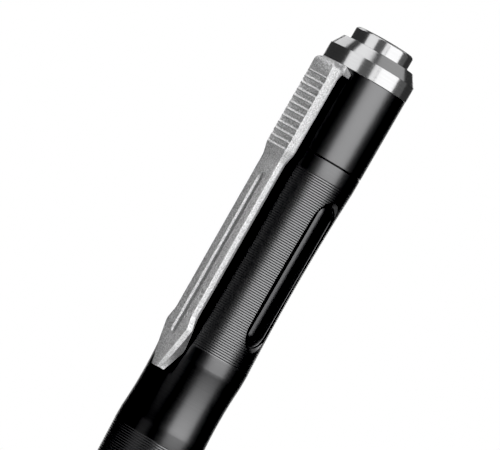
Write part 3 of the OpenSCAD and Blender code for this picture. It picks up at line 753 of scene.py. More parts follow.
@dataclass
class Socket:
    """The end of a piece that screws over a neck, measured inwards from its seam."""

    chamfer: float = 0.15
    seal_bore: float = 6.36
    seal_l: float = 1.6
    thread_bore: float = 6.25

    def corners(self, radius: float, seam: float, inwards: int, end: float) -> list[Corner]:
        """Return the socket's outline from its outside to the end of its thread.

        Args:
            radius: Outer radius of the piece.
            seam: Place of the seam along the barrel.
            inwards: 1 for a socket that opens to the head, -1 for one that opens to the tail.
            end: Place of the end of the thread along the barrel.

        Returns:
            The corners in order from the outside to the end of the thread.
        """
        step = seam + inwards * self.seal_l
        return [
            Corner(radius, seam + inwards * self.chamfer, SEAM_R),
            Corner(radius - self.chamfer, seam, SEAM_R), Corner(self.seal_bore, seam, EDGE_R),
            Corner(self.seal_bore, step), Corner(self.thread_bore, step), Corner(self.thread_bore, end),
        ]


@dataclass
class Pocket:
    """A pill-shaped pocket in the rear grip and the bar that lies in it, on the +X side."""

    width: float = 4.9
    floor: float = 5.8
    floor_fillet: float = 0.12
    flare_start: float = 6.25
    flare_end: float = 7.3
    flare_ratio: float = 1.1
    bar_gap: float = 1.0
    bar_side_gap: float = 1.17
    bar_reach: float = 0.55
    bar_height: float = 0.34
    ridge_share: float = 0.02

    END_STEPS = 24
    FLOOR_STEPS = 4
    BAR_STEPS = 8

    def __post_init__(self) -> None:
        """Work out the pocket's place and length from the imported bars."""
        bars = span("grip_inlays")
        self.middle = (bars.low.z + bars.high.z) / 2
        self.length = bars.high.z - bars.low.z + 2 * self.bar_gap

    def outline(self, half_w: float, reach: float) -> list[tuple[float, float]]:
        """Return a pill outline across Y and along Z.

        Args:
            half_w: Distance of the outline from its centre line.
            reach: How far the centre line reaches past the pocket's own, at each end.

        Returns:
            The outline's points.
        """
        straight = (self.length - self.width) / 2 + reach
        points = []
        for side in (1, -1):
            for step in range(self.END_STEPS + 1):
                turn = math.pi * step / self.END_STEPS
                across = side * half_w * math.cos(turn)
                along = side * (straight + half_w * math.sin(turn))
                points.append((across, self.middle + along))
        return points

    def loft(self, name: str, levels: list[tuple[float, float]], reach: float = 0.0) -> Mesh:
        """Join pill outlines at rising radii into a closed solid.

        Args:
            name: Name of the mesh.
            levels: Half width and radius of each outline, from the inside out.
            reach: How far the outlines reach past the pocket's own, at each end.

        Returns:
            The closed mesh.
        """
        build = bmesh.new()
        rings = []
        for half_w, radius in levels:
            points = self.outline(half_w, reach)
            rings.append([build.verts.new((radius * MM, y * MM, z * MM)) for y, z in points])
        stack(build, rings)
        bmesh.ops.remove_doubles(build, verts=build.verts, dist=TINY)
        bmesh.ops.recalc_face_normals(build, faces=build.faces)
        return mesh_from(build, name)

    def cutter(self) -> Object:
        """Make the solid that cuts the pocket, with a rounded floor and a flared mouth."""
        half_w = self.width / 2
        levels = [(half_w - self.floor_fillet, self.floor)]
        for step in range(1, self.FLOOR_STEPS + 1):
            turn = math.pi / 2 * step / self.FLOOR_STEPS
            inset = self.floor_fillet * (1 - math.sin(turn))
            levels.append((half_w - inset, self.floor + self.floor_fillet * (1 - math.cos(turn))))
        levels.append((half_w, self.flare_start))
        flare = (self.flare_end - self.flare_start) * self.flare_ratio
        levels.append((half_w + flare, self.flare_end))
        return new_object("pocket_cutter", self.loft("pocket_cutter", levels))

    def bar(self) -> Object:
        """Make the crowned bar that lies on the pocket's floor."""
        half_w = self.width / 2 - self.bar_side_gap
        crown_r = (half_w**2 + self.bar_height**2) / (2 * self.bar_height)
        levels = []
        for step in range(self.BAR_STEPS + 1):
            across = half_w * math.cos(math.pi / 2 * step / self.BAR_STEPS)
            rise = math.sqrt(crown_r**2 - across**2) - (crown_r - self.bar_height)
            levels.append((max(across, half_w * self.ridge_share), self.floor + rise))
        return new_object("grip_bars", self.loft("grip_bars", levels, self.bar_reach))


@dataclass
class Barrel:
    """The ringed tube, its bars, its seals and its threads."""

    # Smooth bands and waist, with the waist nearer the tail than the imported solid's
    band_h: float = 2.15
    tail_band_h: float = 2.55
    waist_band_h: float = 2.0
    waist_l: float = 10.6
    waist_shift: float = 0.5
    waist_sag: float = 0.2
    # Grips, with the rings that each would have if both were equally long
    ring_count: int = 88
    ring_depth: float = 0.04
    grip_sag: float = 0.35
    # Ends, bore, pockets and seals
    seam_chamfer: float = 0.15
    bore: float = 5.4
    pocket_count: int = 3
    oring_t: float = 0.5
    neck: Neck = field(default_factory=Neck)
    pocket: Pocket = field(default_factory=Pocket)

    SIZES = {
        "Radius": float, "Front Start": float, "Front Length": float, "Front Rings": int,
        "Rear Start": float, "Rear Length": float, "Rear Rings": int, "Sag": float,
        "Ring Depth": float, "Segments": int, "Pocket": Object, "Pocket Count": int,
    }
    PACKED_BANDS = 3
    WAIST_STEPS = 20
    SEAL_STEPS = 16
    HALF_STEP = 0.5
    WELD_REACH = 2 * TINY
    ROWS_PER_RING = 3
    GROOVE_START = 0.12
    GROOVE_HALF = 0.38
    RING_EDGE_DEGREES = 12.0

    def __post_init__(self) -> None:
        """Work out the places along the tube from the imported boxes."""
        self.radius = span("body_tube").high.x
        self.head_seam = span("head_shell").high.z
        self.tail_seam = span("tail_cap").low.z
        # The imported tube's grips are equally long, and the front one keeps its start
        smooth = self.PACKED_BANDS * self.band_h + self.waist_band_h + self.waist_l
        even_l = (self.tail_seam - self.head_seam - smooth) / 2
        self.ring_pitch = even_l / self.ring_count
        self.front_grip = self.head_seam + self.band_h
        self.waist_band = self.front_grip + even_l + self.waist_shift
        self.waist = self.waist_band + self.waist_band_h
        self.rear_grip = self.waist + self.waist_l + self.band_h
        self.rear_end = self.tail_seam - self.tail_band_h

    def smooth_parts(self) -> Mesh:
        """Turn everything but the two ringed grips: bands, waist, necks and bore."""
        r, edge = self.radius, self.seam_chamfer
        ends = []
        for grip_end, seam, outwards in (
            (self.rear_end, self.tail_seam, 1), (self.front_grip, self.head_seam, -1),
        ):
            brink = Corner(r, seam - outwards * edge, SEAM_R)
            band = [Corner(r, grip_end), brink, Corner(r - edge, seam, SEAM_R)]
            ends.append(band + self.neck.corners(seam, outwards, self.bore))
        rear, front = ends
        waist = [Corner(r, self.waist_band), Corner(r, self.waist - EDGE_SUPPORT)]
        for step in range(self.WAIST_STEPS + 1):
            along = step / self.WAIST_STEPS
            sag = BOW_SCALE * self.waist_sag * along * (1 - along)
            waist.append(Corner(r - sag, self.waist + along * self.waist_l))
        waist += [Corner(r, self.rear_grip - self.band_h + EDGE_SUPPORT), Corner(r, self.rear_grip)]
        build = bmesh.new()
        turn_into(build, rear + front[::-1], TUBE_SEGMENTS, closed=False)
        turn_into(build, waist, TUBE_SEGMENTS, closed=False)
        return mesh_from(build, "ringed_tube")

    def grip_surface(self, tree: Recipe, grip: str) -> NodeSocket:
        """Add one ringed grip to a tree, as a grid wrapped round the axis.

        Args:
            tree: The tree that takes the nodes.
            grip: The word that the names of the grip's sizes start with.

        Returns:
            The grip's open surface.
        """
        count, segments = tree.size(f"{grip} Rings"), tree.size("Segments")
        # Each ring has three rows, the middle one in its groove, and each end of the grip has one more
        rows = tree.math("MULTIPLY_ADD", count, self.ROWS_PER_RING, 2)
        columns = tree.math("ADD", segments, 1)
        grid = tree.node("GeometryNodeMeshGrid", {"Vertices X": columns, "Vertices Y": rows})
        index = tree.node("GeometryNodeInputIndex", {})
        column = tree.math("FLOOR", tree.math("DIVIDE", tree.math("ADD", index, self.HALF_STEP), rows))
        row = tree.math("SUBTRACT", tree.math("SUBTRACT", index, tree.math("MULTIPLY", column, rows)), 1)
        middle = tree.math("ADD", row, self.HALF_STEP)
        ring = tree.math("FLOOR", tree.math("DIVIDE", middle, self.ROWS_PER_RING))
        part = tree.math("SUBTRACT", row, tree.math("MULTIPLY", ring, self.ROWS_PER_RING))
        share = tree.math("MULTIPLY_ADD", part, self.GROOVE_HALF, self.GROOVE_START)
        along = tree.math("DIVIDE", tree.math("ADD", ring, share), count)
        along = tree.node("ShaderNodeClamp", {"Value": along})
        is_groove = tree.math("COMPARE", part, 1, self.HALF_STEP)
        groove = tree.math("MULTIPLY", is_groove, tree.size("Ring Depth"))
        bow = tree.math("MULTIPLY", along, tree.math("SUBTRACT", 1, along))
        sag = tree.math("MULTIPLY", tree.math("MULTIPLY", bow, BOW_SCALE), tree.size("Sag"))
        radius = tree.math("SUBTRACT", tree.math("SUBTRACT", tree.size("Radius"), sag), groove)
        turn = tree.math("MULTIPLY", tree.math("DIVIDE", column, segments), 2 * math.pi)
        height = tree.math("MULTIPLY_ADD", along, tree.size(f"{grip} Length"), tree.size(f"{grip} Start"))
        place = tree.point(
            tree.math("MULTIPLY", radius, tree.math("COSINE", turn)),
            tree.math("MULTIPLY", radius, tree.math("SINE", turn)),
            height,
        )
        return tree.node("GeometryNodeSetPosition", {"Geometry": grid, "Position": place})

    def recipe(self, material: Material) -> Recipe:
        """Build the tree that rings the grips, joins the tube and cuts its pockets."""
        tree = Recipe("ringed_tube", self.SIZES)
        join = add_node(tree.tree, "GeometryNodeJoinGeometry", {})
        surfaces = [tree.entry.outputs["Geometry"]]
        surfaces += [self.grip_surface(tree, grip) for grip in ("Front", "Rear")]
        for surface in surfaces:
            tree.tree.links.new(surface, join.inputs[0])
        whole = tree.node(
            "GeometryNodeMergeByDistance", {"Geometry": join.outputs[0], "Distance": self.WELD_REACH}
        )
        shape = add_node(tree.tree, "GeometryNodeObjectInfo", {"Object": tree.size("Pocket")})
        cutters = tree.round_axis(shape.outputs["Geometry"], tree.size("Pocket Count"))
        cut = tree.node(
            "GeometryNodeMeshBoolean", {0: whole, 1: cutters}, operation=Cut.TAKE.value, solver="EXACT"
        )
        tree.close(cut, material)
        return tree

    def tube(self, material: Material) -> Object:
        """Make the whole tube with its rings, pockets and threads."""
        piece = new_object("ringed_tube", self.smooth_parts())
        cutter = self.pocket.cutter()
        sizes = {
            "Radius": self.radius * MM, "Sag": self.grip_sag * MM, "Ring Depth": self.ring_depth * MM,
            "Segments": TUBE_SEGMENTS, "Pocket": cutter, "Pocket Count": self.pocket_count,
        }
        grips = {"Front": (self.front_grip, self.waist_band), "Rear": (self.rear_grip, self.rear_end)}
        for grip, (start, end) in grips.items():
            sizes[f"{grip} Start"] = start * MM
            sizes[f"{grip} Length"] = (end - start) * MM
            sizes[f"{grip} Rings"] = round((end - start) / self.ring_pitch)
        self.recipe(material).grow(piece, sizes)
        bpy.data.objects.remove(cutter)
        threads = (("rear_thread", self.tail_seam, 1), ("front_thread", self.head_seam, -1))
        for name, seam, outwards in threads:
            carve(piece, self.neck.thread(name, seam, outwards, material), Cut.ADD)
        return piece

    def bars(self, material: Material) -> Object:
        """Make the bars in the pockets, one turned to each pocket."""
        piece = self.pocket.bar()
        tree = Recipe("grip_bars", {"Count": int})
        tree.close(tree.round_axis(tree.entry.outputs["Geometry"], tree.size("Count")), material)
        tree.grow(piece, {"Count": self.pocket_count})
        return piece

    def seal(self, node: str) -> list[Corner]:
        """Return the outline of an O-ring where its node lies."""
        r, low, high = turned_size(node)
        wire_r = self.oring_t / 2
        centre_r, centre_z = r - wire_r, (low + high) / 2
        turns = [2 * math.pi * k / self.SEAL_STEPS for k in range(self.SEAL_STEPS)]
        return [Corner(centre_r + wire_r * math.cos(a), centre_z + wire_r * math.sin(a)) for a in turns]

    def build(self, fitter: Fitter) -> None:
        """Make the barrel's pieces and fasten them to the frame."""
        slot = "black_anodised"
        tube = self.tube(fitter.palette[slot])
        fitter.mount(tube, "barrel", slot, "body_tube", sharp=self.RING_EDGE_DEGREES)
        fitter.mount(self.bars(fitter.palette["black_inlay"]), "barrel", "black_inlay", "grip_inlays")
        for node in ("tail_o_ring", "head_o_ring"):
            fitter.turn(f"{node}_seal", self.seal(node), "barrel", "black_rubber", node)


# Tail


@dataclass
class TailSwitch:
    """The button, the bezel, the cap and the soft parts of the switch."""

    # Button
    button_r: float = 4.78
    button_edge_r: float = 0.45
    button_flange_h: float = 0.8
    button_cavity_r: float = 3.8
    button_crown_t: float = 1.25
    stem_r: float = 2.2
    stem_edge_r: float = 0.2
    seat_gap: float = 0.05
    # Bezel
    bezel_band_h: float = 2.4
    bezel_chamfer_w: float = 1.1
    bezel_hole_r: float = 4.86
    bezel_lip_t: float = 2.8
    skirt_r: float = 5.7
    skirt_bore: float = 5.25
    # Cap
    rebate_r: float = 6.45
    cap_bore: float = 5.8
    housing_bore: float = 5.3
    housing_h: float = 2.8
    notch_w: float = 5.0
    notch_gap: float = 0.1
    socket: Socket = field(default_factory=Socket)
    # Boot and springs
    boot_t: float = 0.6
    boot_r: float = 3.7
    boot_root_r: float = 0.15
    boot_dome_r: float = 0.55
    boot_ceiling_r: float = 0.2
    tail_wire_d: float = 0.6
    tail_turns: float = 5.0
    tail_tip_r: float = 2.5
    switch_wire_d: float = 0.3
    switch_turns: float = 5.0
    press: float = 1.4

    def button(self) -> list[Corner]:
        """Return the outline of the push button."""
        flange_r, stem_end, top = turned_size("tail_button")
        flange_top = span("tail_bezel").high.z - self.bezel_lip_t - self.seat_gap
        flange = flange_top - self.button_flange_h
        ceiling = top - self.button_crown_t
        return [
            Corner(0, stem_end), Corner(self.stem_r, stem_end, self.stem_edge_r),
            Corner(self.stem_r, ceiling, CAVITY_R), Corner(self.button_cavity_r, ceiling, CAVITY_R),
            Corner(self.button_cavity_r, flange, EDGE_R), Corner(flange_r, flange, EDGE_R),
            Corner(flange_r, flange_top, EDGE_R), Corner(self.button_r, flange_top, EDGE_R),
            Corner(self.button_r, top, self.button_edge_r), Corner(0, top),
        ]

    def bezel(self) -> list[Corner]:
        """Return the outline of the bezel round the button."""
        r, bottom, top = turned_size("tail_bezel")
        seat = span("tail_cap").high.z
        lip = top - self.bezel_lip_t
        return [
            Corner(self.skirt_bore, bottom), Corner(self.skirt_r, bottom, EDGE_R),
            Corner(self.skirt_r, seat), Corner(r, seat, RIM_R), Corner(r, seat + self.bezel_band_h, RIM_R),
            Corner(r - self.bezel_chamfer_w, top, RIM_R), Corner(self.bezel_hole_r, top, SOFT_R),
            Corner(self.bezel_hole_r, lip, LIP_R), Corner(self.skirt_bore, lip, LIP_R),
        ]

    def cap(self, clip: "Clip") -> Object:
        """Make the tail cap, with the notch that the clip's claw comes out of."""
        r, seam, top = turned_size("tail_cap")
        rebate = clip.claw_high - clip.ring_h
        shoulder = span("switch_housing").low.z
        ledge = shoulder + self.housing_h
        corners = self.socket.corners(r, seam, 1, shoulder)[::-1]
        corners += [
            Corner(r, top, END_R), Corner(self.rebate_r, top, SEAM_R), Corner(self.rebate_r, rebate),
            Corner(self.cap_bore, rebate), Corner(self.cap_bore, ledge),
            Corner(self.housing_bore, ledge), Corner(self.housing_bore, shoulder),
        ]
        piece = new_object("cap", turned("cap", corners))
        notch = clip.claw_block(self.notch_w, self.cap_bore, self.notch_gap)
        carve(piece, new_object("notch", mesh_from(notch, "notch")), Cut.TAKE)
        return piece

    def boot(self) -> list[Corner]:
        """Return the outline of the rubber boot, a soft dome on a clamped flange."""
        flange_r, low, high = turned_size("switch_boot")
        flange_top = low + self.boot_t - self.seat_gap
        ceiling = high - self.boot_t
        inner_r = self.boot_r - self.boot_t
        return [
            Corner(inner_r, low), Corner(flange_r, low, STEP_R), Corner(flange_r, flange_top, SOFT_R),
            Corner(self.boot_r, flange_top, self.boot_root_r),
            Corner(self.boot_r, high, self.boot_dome_r), Corner(0, high), Corner(0, ceiling),
            Corner(inner_r, ceiling, self.boot_ceiling_r),
        ]

    def spring(
        self, node: str, turns: float, wire_d: float, material: Material, low_r: float | None = None
    ) -> Object:
        """Make a spring with closed ends where its node lies.

        Args:
            node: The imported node.
            turns: Number of turns.
            wire_d: Wire diameter.
            material: The spring's material.
            low_r: Mean radius at the lower end, or none for a straight spring.

        Returns:
            The spring's object.
        """
        r, low, high = turned_size(node)
        wire_r = wire_d / 2
        high_r = r - wire_r
        coil = Coil(
            f"{node}_wire", turns, low + wire_r, high - wire_r, low_r=low_r or high_r, high_r=high_r,
            wire_r=wire_r, sides=WIRE_SIDES, closed_ends=1.0,
        )
        return coil.grow(material)

    def build(self, fitter: Fitter, clip: "Clip") -> None:
        """Make the tail's pieces and fasten them to the frame.

        Args:
            fitter: The fitter that takes the pieces.
            clip: The clip whose claw comes out of the cap.
        """
        gilt, steel = (fitter.palette[slot] for slot in ("gilt_spring", "spring_steel"))
        fitter.turn("push_button", self.button(), "button", "polished_steel", "tail_button")
        fitter.turn("steel_bezel", self.bezel(), "tail_cap", "polished_steel", "tail_bezel")
        fitter.mount(self.cap(clip), "tail_cap", "black_anodised", "tail_cap")
        cone = self.spring("tail_spring", self.tail_turns, self.tail_wire_d, gilt, self.tail_tip_r)
        fitter.mount(cone, "spring", "gilt_spring", "tail_spring")
        boot = new_object("rubber_boot", turned("rubber_boot", self.boot(), HIDDEN_SEGMENTS))
        fitter.mount(boot, "tail_cap", "black_rubber", "switch_boot")
        spring = self.spring("switch_spring", self.switch_turns, self.switch_wire_d, steel)
        fitter.mount(spring, "tail_cap", "spring_steel", "switch_spring")
        for piece, node in ((boot, "switch_boot"), (spring, "switch_spring")):
            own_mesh(piece)


# Clip


@dataclass(frozen=True)
class Track:
    """A size that changes along the barrel: straight between its knots and eased at them."""

    knots: tuple[tuple[float, float], ...]
    ease: float = 0.3

    EASE_STEPS = 4

    def straight(self, z: float) -> float:
        """Return the size at a place, with sharp knots."""
        knots = sorted(self.knots)
        if z <= knots[0][0]:
            return knots[0][1]
        for (low, first), (high, last) in zip(knots, knots[1:]):
            if z <= high:
                return first + (last - first) * (z - low) / (high - low)
        return knots[-1][1]

    def at(self, z: float) -> float:
        """Return the size at a place, averaged over the easing length."""
        steps = range(-self.EASE_STEPS, self.EASE_STEPS + 1)
        return sum(self.straight(z + self.ease * k / self.EASE_STEPS) for k in steps) / len(steps)


@dataclass
class Clip:
    """The pocket clip: thumb pad with serrations, grooved blade, nose, claw and collar ring."""

    # Thumb pad and the slope below it
    pad_w: float = 3.75
    pad_l: float = 14.55
    pad_t: float = 2.29
    pad_sink: float = 0.2
    pad_corner_r: float = 0.95
    slope_l: float = 1.9
    pad_base_w: float = 4.84
    pad_bevel_h: float = 1.5
    pad_side_h: float = 0.4
    # Blade
    blade_w: float = 3.3
    blade_t: float = 1.6
    blade_drop: float = 0.3
    blade_base_w: float = 3.93
    blade_bevel_h: float = 0.74
    blade_side_h: float = 0.6
    # Nose, from its shoulder over its foot to its tip
    nose_w: float = 4.2
    nose_l: float = 8.7
    nose_base_w: float = 5.0
    nose_under_w: float = 4.1
    shoulder: float = 1.9
    shoulder_bevel_h: float = 0.75
    foot: float = 5.0
    foot_land: float = 0.8
    foot_base_w: float = 3.8
    foot_under_w: float = 3.72
    foot_bevel_h: float = 0.65
    tip_w: float = 1.1
    tip_base_w: float = 1.6
    tip_under_w: float = 2.27
    tip_t: float = 1.1
    tip_drop: float = 0.235
    tip_bevel_h: float = 0.55
    # Face and edges
    crown: float = 0.04
    edge_r: float = 0.08
    # Serrations, with shares of the pitch for a tooth's step and lip
    serration_count: int = 11
    serration_pitch: float = 1.08
    serration_start: float = 2.7
    serration_depth: float = 0.23
    serration_step: float = 0.3
    serration_run_in: float = 2.0
    serration_sink: float = 0.5
    serration_lip: float = 0.29
    serration_margin: float = 0.35
    serration_edge: float = 0.8
    # Groove, whose floor tilts by a share of its depth
    groove_w: float = 1.0
    groove_floor_w: float = 0.38
    groove_depth: float = 0.19
    groove_tilt: float = 0.6
    groove_start: float = 2.8
    groove_reach: float = 3.25
    groove_run_in: float = 0.3
    groove_run_out: float = 0.5
    groove_end_w: float = 0.3
    # Claw and collar ring
    claw_w: float = 4.8
    claw_root: float = 5.9
    claw_root_h: float = 0.6
    claw_corner_r: float = 0.12
    claw_edge_r: float = 0.1
    claw_lap: float = 0.15
    claw_fillet: float = 0.8
    ring_bore: float = 5.8
    ring_h: float = 1.0
    # Spacing of the arm's sections
    row_margin: float = 1.0
    blade_row: float = 0.4
    nose_row: float = 0.15

    ROWS_PER_SERRATION = 12
    END_STEPS = 8
    EDGE_STEPS = 3
    CLAW_CORNER_STEPS = 5
    CLAW_EDGE_STEPS = 3
    CLAW_EDGE_DEGREES = 40.0
    ROUND_PROFILE = 0.5
    SERRATION_WEIGHT = "serration"
    GROOVE_EDGE_DEGREES = 14.0
    SIZES = {
        "Start": float, "Pitch": float, "Depth": float, "Step": float, "Run In": float, "Sink": float,
        "Lip": float, "Count": int,
    }

    def __post_init__(self) -> None:
        """Work out the clip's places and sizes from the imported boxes."""
        arm, collar = span("clip_arm"), span("clip_collar")
        self.top, self.tip = arm.high.z, arm.low.z
        self.pad_out, self.foot_in = -arm.low.y - self.pad_sink, -arm.high.y
        self.claw_low, self.claw_high, self.claw_out = collar.low.z, collar.high.z, -collar.low.y
        self.ring_r = collar.high.y
        self.pad_end = self.top - self.pad_l
        self.blade = self.pad_end - self.slope_l
        self.nose = self.tip + self.nose_l
        arm_in = -arm.low.y - self.pad_t
        blade_out = arm_in + self.blade_t
        nose_out = blade_out - self.blade_drop
        tip_out = nose_out - self.tip_drop
        foot, shoulder = self.nose - self.foot, self.nose - self.shoulder
        self.groove_top = self.blade - self.groove_start
        self.groove_end = self.nose - self.groove_reach
        self.outer = Track((
            (self.tip, tip_out), (foot, nose_out), (self.nose, nose_out), (self.blade, blade_out),
            (self.pad_end, self.pad_out),
        ))
        pad_in = self.pad_out - self.pad_bevel_h - self.pad_side_h
        blade_in = blade_out - self.blade_bevel_h - self.blade_side_h
        self.inner = Track((
            (self.tip, tip_out - self.tip_t), (foot - self.foot_land / 2, self.foot_in),
            (foot + self.foot_land / 2, self.foot_in), (self.nose, blade_in - self.blade_drop),
            (self.blade, blade_in), (self.pad_end, pad_in),
            (self.claw_low - self.claw_fillet, pad_in), (self.claw_low, self.claw_out - self.claw_lap),
        ))
        self.face_w = Track((
            (self.tip, self.tip_w), (shoulder, self.nose_w), (self.nose, self.blade_w),
            (self.blade, self.blade_w), (self.pad_end, self.pad_w),
        ))
        upper_base = (
            (self.nose, self.blade_base_w), (self.blade, self.blade_base_w),
            (self.pad_end, self.pad_base_w),
        )
        self.base_w = Track((
            (self.tip, self.tip_base_w), (foot, self.foot_base_w), (shoulder, self.nose_base_w),
            *upper_base,
        ))
        self.under_w = Track((
            (self.tip, self.tip_under_w), (foot, self.foot_under_w), (shoulder, self.nose_under_w),
            *upper_base,
        ))
        self.bevel_h = Track((
            (self.tip, self.tip_bevel_h), (foot, self.foot_bevel_h), (shoulder, self.shoulder_bevel_h),
            (self.nose, self.blade_bevel_h), (self.blade, self.blade_bevel_h),
            (self.pad_end, self.pad_bevel_h),
        ))

    def groove_share(self, z: float) -> float:
        """Return how much of the blade's groove is cut at a place, from 0 to 1."""
        run_in = (self.groove_top - z) / self.groove_run_in
        run_out = (z - self.groove_end) / self.groove_run_out
        return max(0.0, min(1.0, run_in, run_out))

    def end_rounding(self, z: float) -> float:
        """Return how far the outline draws in near the top of the pad and near the tip."""
        for room, radius in ((self.top - z, self.pad_corner_r), (z - self.tip, self.edge_r)):
            if room < radius:
                return radius - math.sqrt(max(radius**2 - (radius - room) ** 2, 0.0))
        return 0.0

    def section(self, z: float) -> list[tuple[float, float, float]]:
        """Return the clip's cross-section at a place.

        Args:
            z: Place along the barrel.

        Returns:
            Points round the section as x, distance outwards and serration weight.
        """
        drawn_in = self.end_rounding(z)
        out, inside = self.outer.at(z) - drawn_in, self.inner.at(z)
        widths = (self.face_w, self.base_w, self.under_w)
        half, base, under = (track.at(z) / 2 - drawn_in for track in widths)
        edge = self.edge_r
        brink = out - self.crown
        cut = self.groove_share(z)
        groove = (self.groove_end_w + (self.groove_w - self.groove_end_w) * cut) / 2
        lip = out - self.crown * groove / half
        floor = lip - self.groove_depth * cut
        floor_half = groove * self.groove_floor_w / self.groove_w
        tilt = self.groove_depth * self.groove_tilt * cut
        side = max(brink - self.bevel_h.at(z), inside + 2 * edge)
        slope = Vector((base - half, side - brink)).normalized()
        right = [
            (groove, lip, 1.0),
            (half - self.serration_margin, brink + self.crown * self.serration_margin / half, 1.0),
            (half - 2 * edge, brink + self.crown * 2 * edge / half, self.serration_edge),
        ]
        for step in range(self.EDGE_STEPS + 1):
            share = step / self.EDGE_STEPS
            along = edge * (share - 1) * (1 - share)
            down = edge * share * share
            weight = self.serration_edge * (1 - share)
            right.append((half + along + slope.x * down, brink + slope.y * down, weight))
        right += [
            (half + slope.x * 2 * edge, brink + slope.y * 2 * edge, 0.0),
            (base - slope.x * edge, side - slope.y * edge, 0.0),
            (base, side - edge / 2, 0.0), (under, inside + edge, 0.0), (under - edge, inside, 0.0),
        ]
        left = [(-x, outwards, weight) for x, outwards, weight in reversed(right)]
        bed = [(-floor_half, floor, 1.0), (0.0, floor + tilt / 2, 1.0), (floor_half, floor + tilt, 1.0)]
        return bed + right + [(0.0, inside, 0.0)] + left

    def rows(self) -> list[float]:
        """Return the places of the sections, close together where the shape changes fast."""
        fine = self.serration_pitch / self.ROWS_PER_SERRATION
        places = {self.top, self.tip}
        for step in range(1, self.END_STEPS + 1):
            ease = 1 - math.cos(math.pi / 2 * step / self.END_STEPS)
            places.add(self.top - self.pad_corner_r * ease)
            places.add(self.tip + self.edge_r * ease)
        first = self.top - self.serration_start + self.serration_pitch
        blade, nose = self.blade - self.row_margin, self.nose + self.row_margin
        stretches = (
            (first, blade, fine), (blade, nose, self.blade_row),
            (nose, self.tip + self.edge_r, self.nose_row),
        )
        for start, end, step in stretches:
            count = round((start - end) / step)
            places.update(start + (end - start) * k / count for k in range(count))
        return sorted(places)

    def arm(self) -> Object:
        """Loft the arm through its sections, with the weight that its serrations follow."""
        build = bmesh.new()
        weight = build.verts.layers.float.new(self.SERRATION_WEIGHT)
        rings = []
        for z in self.rows():
            ring = []
            for x, outwards, share in self.section(z):
                vertex = build.verts.new((x * MM, -outwards * MM, z * MM))
                vertex[weight] = share
                ring.append(vertex)
            rings.append(ring)
        stack(build, rings)
        return new_object("pocket_clip", mesh_from(build, "pocket_clip"))

    def serration_recipe(self, material: Material) -> Recipe:
        """Build the tree that sinks the thumb serrations into the pad's face.

        Going down, each tooth steps in, sinks further and comes back out to its lip. One more tooth,
        with a gentle step, leads in above the first.
        """
        tree = Recipe("thumb_serrations", self.SIZES)
        height = tree.place()[-1]
        along = tree.math("DIVIDE", tree.math("SUBTRACT", tree.size("Start"), height), tree.size("Pitch"))
        share = tree.math("FRACT", along)
        is_first = tree.math("LESS_THAN", along, 0)
        longer = tree.math("SUBTRACT", tree.size("Run In"), tree.size("Step"))
        run_in = tree.math("MULTIPLY", is_first, longer)
        step = tree.math("DIVIDE", share, tree.math("ADD", tree.size("Step"), run_in))
        left_over = tree.math("SUBTRACT", 1, share)
        face = tree.math("SUBTRACT", 1, tree.math("MULTIPLY", left_over, tree.size("Sink")))
        lip = tree.math("DIVIDE", left_over, tree.size("Lip"))
        tooth = tree.math("MINIMUM", tree.math("MINIMUM", step, face), lip)
        is_past_start = tree.math("GREATER_THAN", along, -1)
        is_before_end = tree.math("LESS_THAN", along, tree.size("Count"))
        inside = tree.math("MULTIPLY", is_past_start, is_before_end)
        weight = tree.node(
            "GeometryNodeInputNamedAttribute", {"Name": self.SERRATION_WEIGHT}, data_type="FLOAT"
        )
        depth = tree.math("MULTIPLY", tree.math("MULTIPLY", tooth, inside), tree.size("Depth"))
        offset = tree.point(0, tree.math("MULTIPLY", depth, weight), 0)
        sunk = tree.node(
            "GeometryNodeSetPosition", {"Geometry": tree.entry.outputs["Geometry"], "Offset": offset}
        )
        tree.close(sunk, material)
        return tree

    def claw_top(self, outwards: float) -> float:
        """Return the height of the claw's sloping top at a distance from the axis."""
        share = (outwards - self.claw_root) / (self.claw_out - self.claw_root)
        root_top = self.claw_low + self.claw_root_h
        return root_top + (self.claw_high - root_top) * share

    def claw_block(self, width: float, near: float, gap: float = 0.0) -> BMesh:
        """Make a block in the claw's place, with a roof that slopes as the claw's top does.

        Args:
            width: Width across the clip.
            near: Distance of the block's inner end from the axis.
            gap: How far the roof and the floor stand off the claw's.

        Returns:
            The block.
        """
        build = bmesh.new()
        bmesh.ops.create_cube(build, size=1.0)
        for vertex in build.verts:
            outwards = self.claw_out if vertex.co.y < 0 else near
            z = self.claw_top(outwards) + gap if vertex.co.z > 0 else self.claw_low - gap
            vertex.co = Vector((math.copysign(width / 2, vertex.co.x), -outwards, z)) * MM
        return build

    def ease_edges(self, build: BMesh, edges: list[BMEdge], radius: float, steps: int) -> None:
        """Round some edges of the claw with a radius."""
        bmesh.ops.bevel(
            build, geom=edges, offset=radius * MM, segments=steps, profile=self.ROUND_PROFILE,
            affect="EDGES",
        )

    def claw(self) -> Object:
        """Make the claw that comes out of the cap and carries the arm, sloping to its root."""
        build = self.claw_block(self.claw_w, self.claw_root)
        halfway = -(self.claw_out + self.claw_root) / 2 * MM
        posts = []
        for edge in build.edges:
            first, last = (vertex.co for vertex in edge.verts)
            if max(first.y, last.y) < halfway and abs(first.x - last.x) < TINY:
                posts.append(edge)
        self.ease_edges(build, posts, self.claw_corner_r, self.CLAW_CORNER_STEPS)
        limit = math.radians(self.CLAW_EDGE_DEGREES)
        sharp = [edge for edge in build.edges if edge.calc_face_angle(0) > limit]
        self.ease_edges(build, sharp, self.claw_edge_r, self.CLAW_EDGE_STEPS)
        return new_object("claw", mesh_from(build, "claw"))

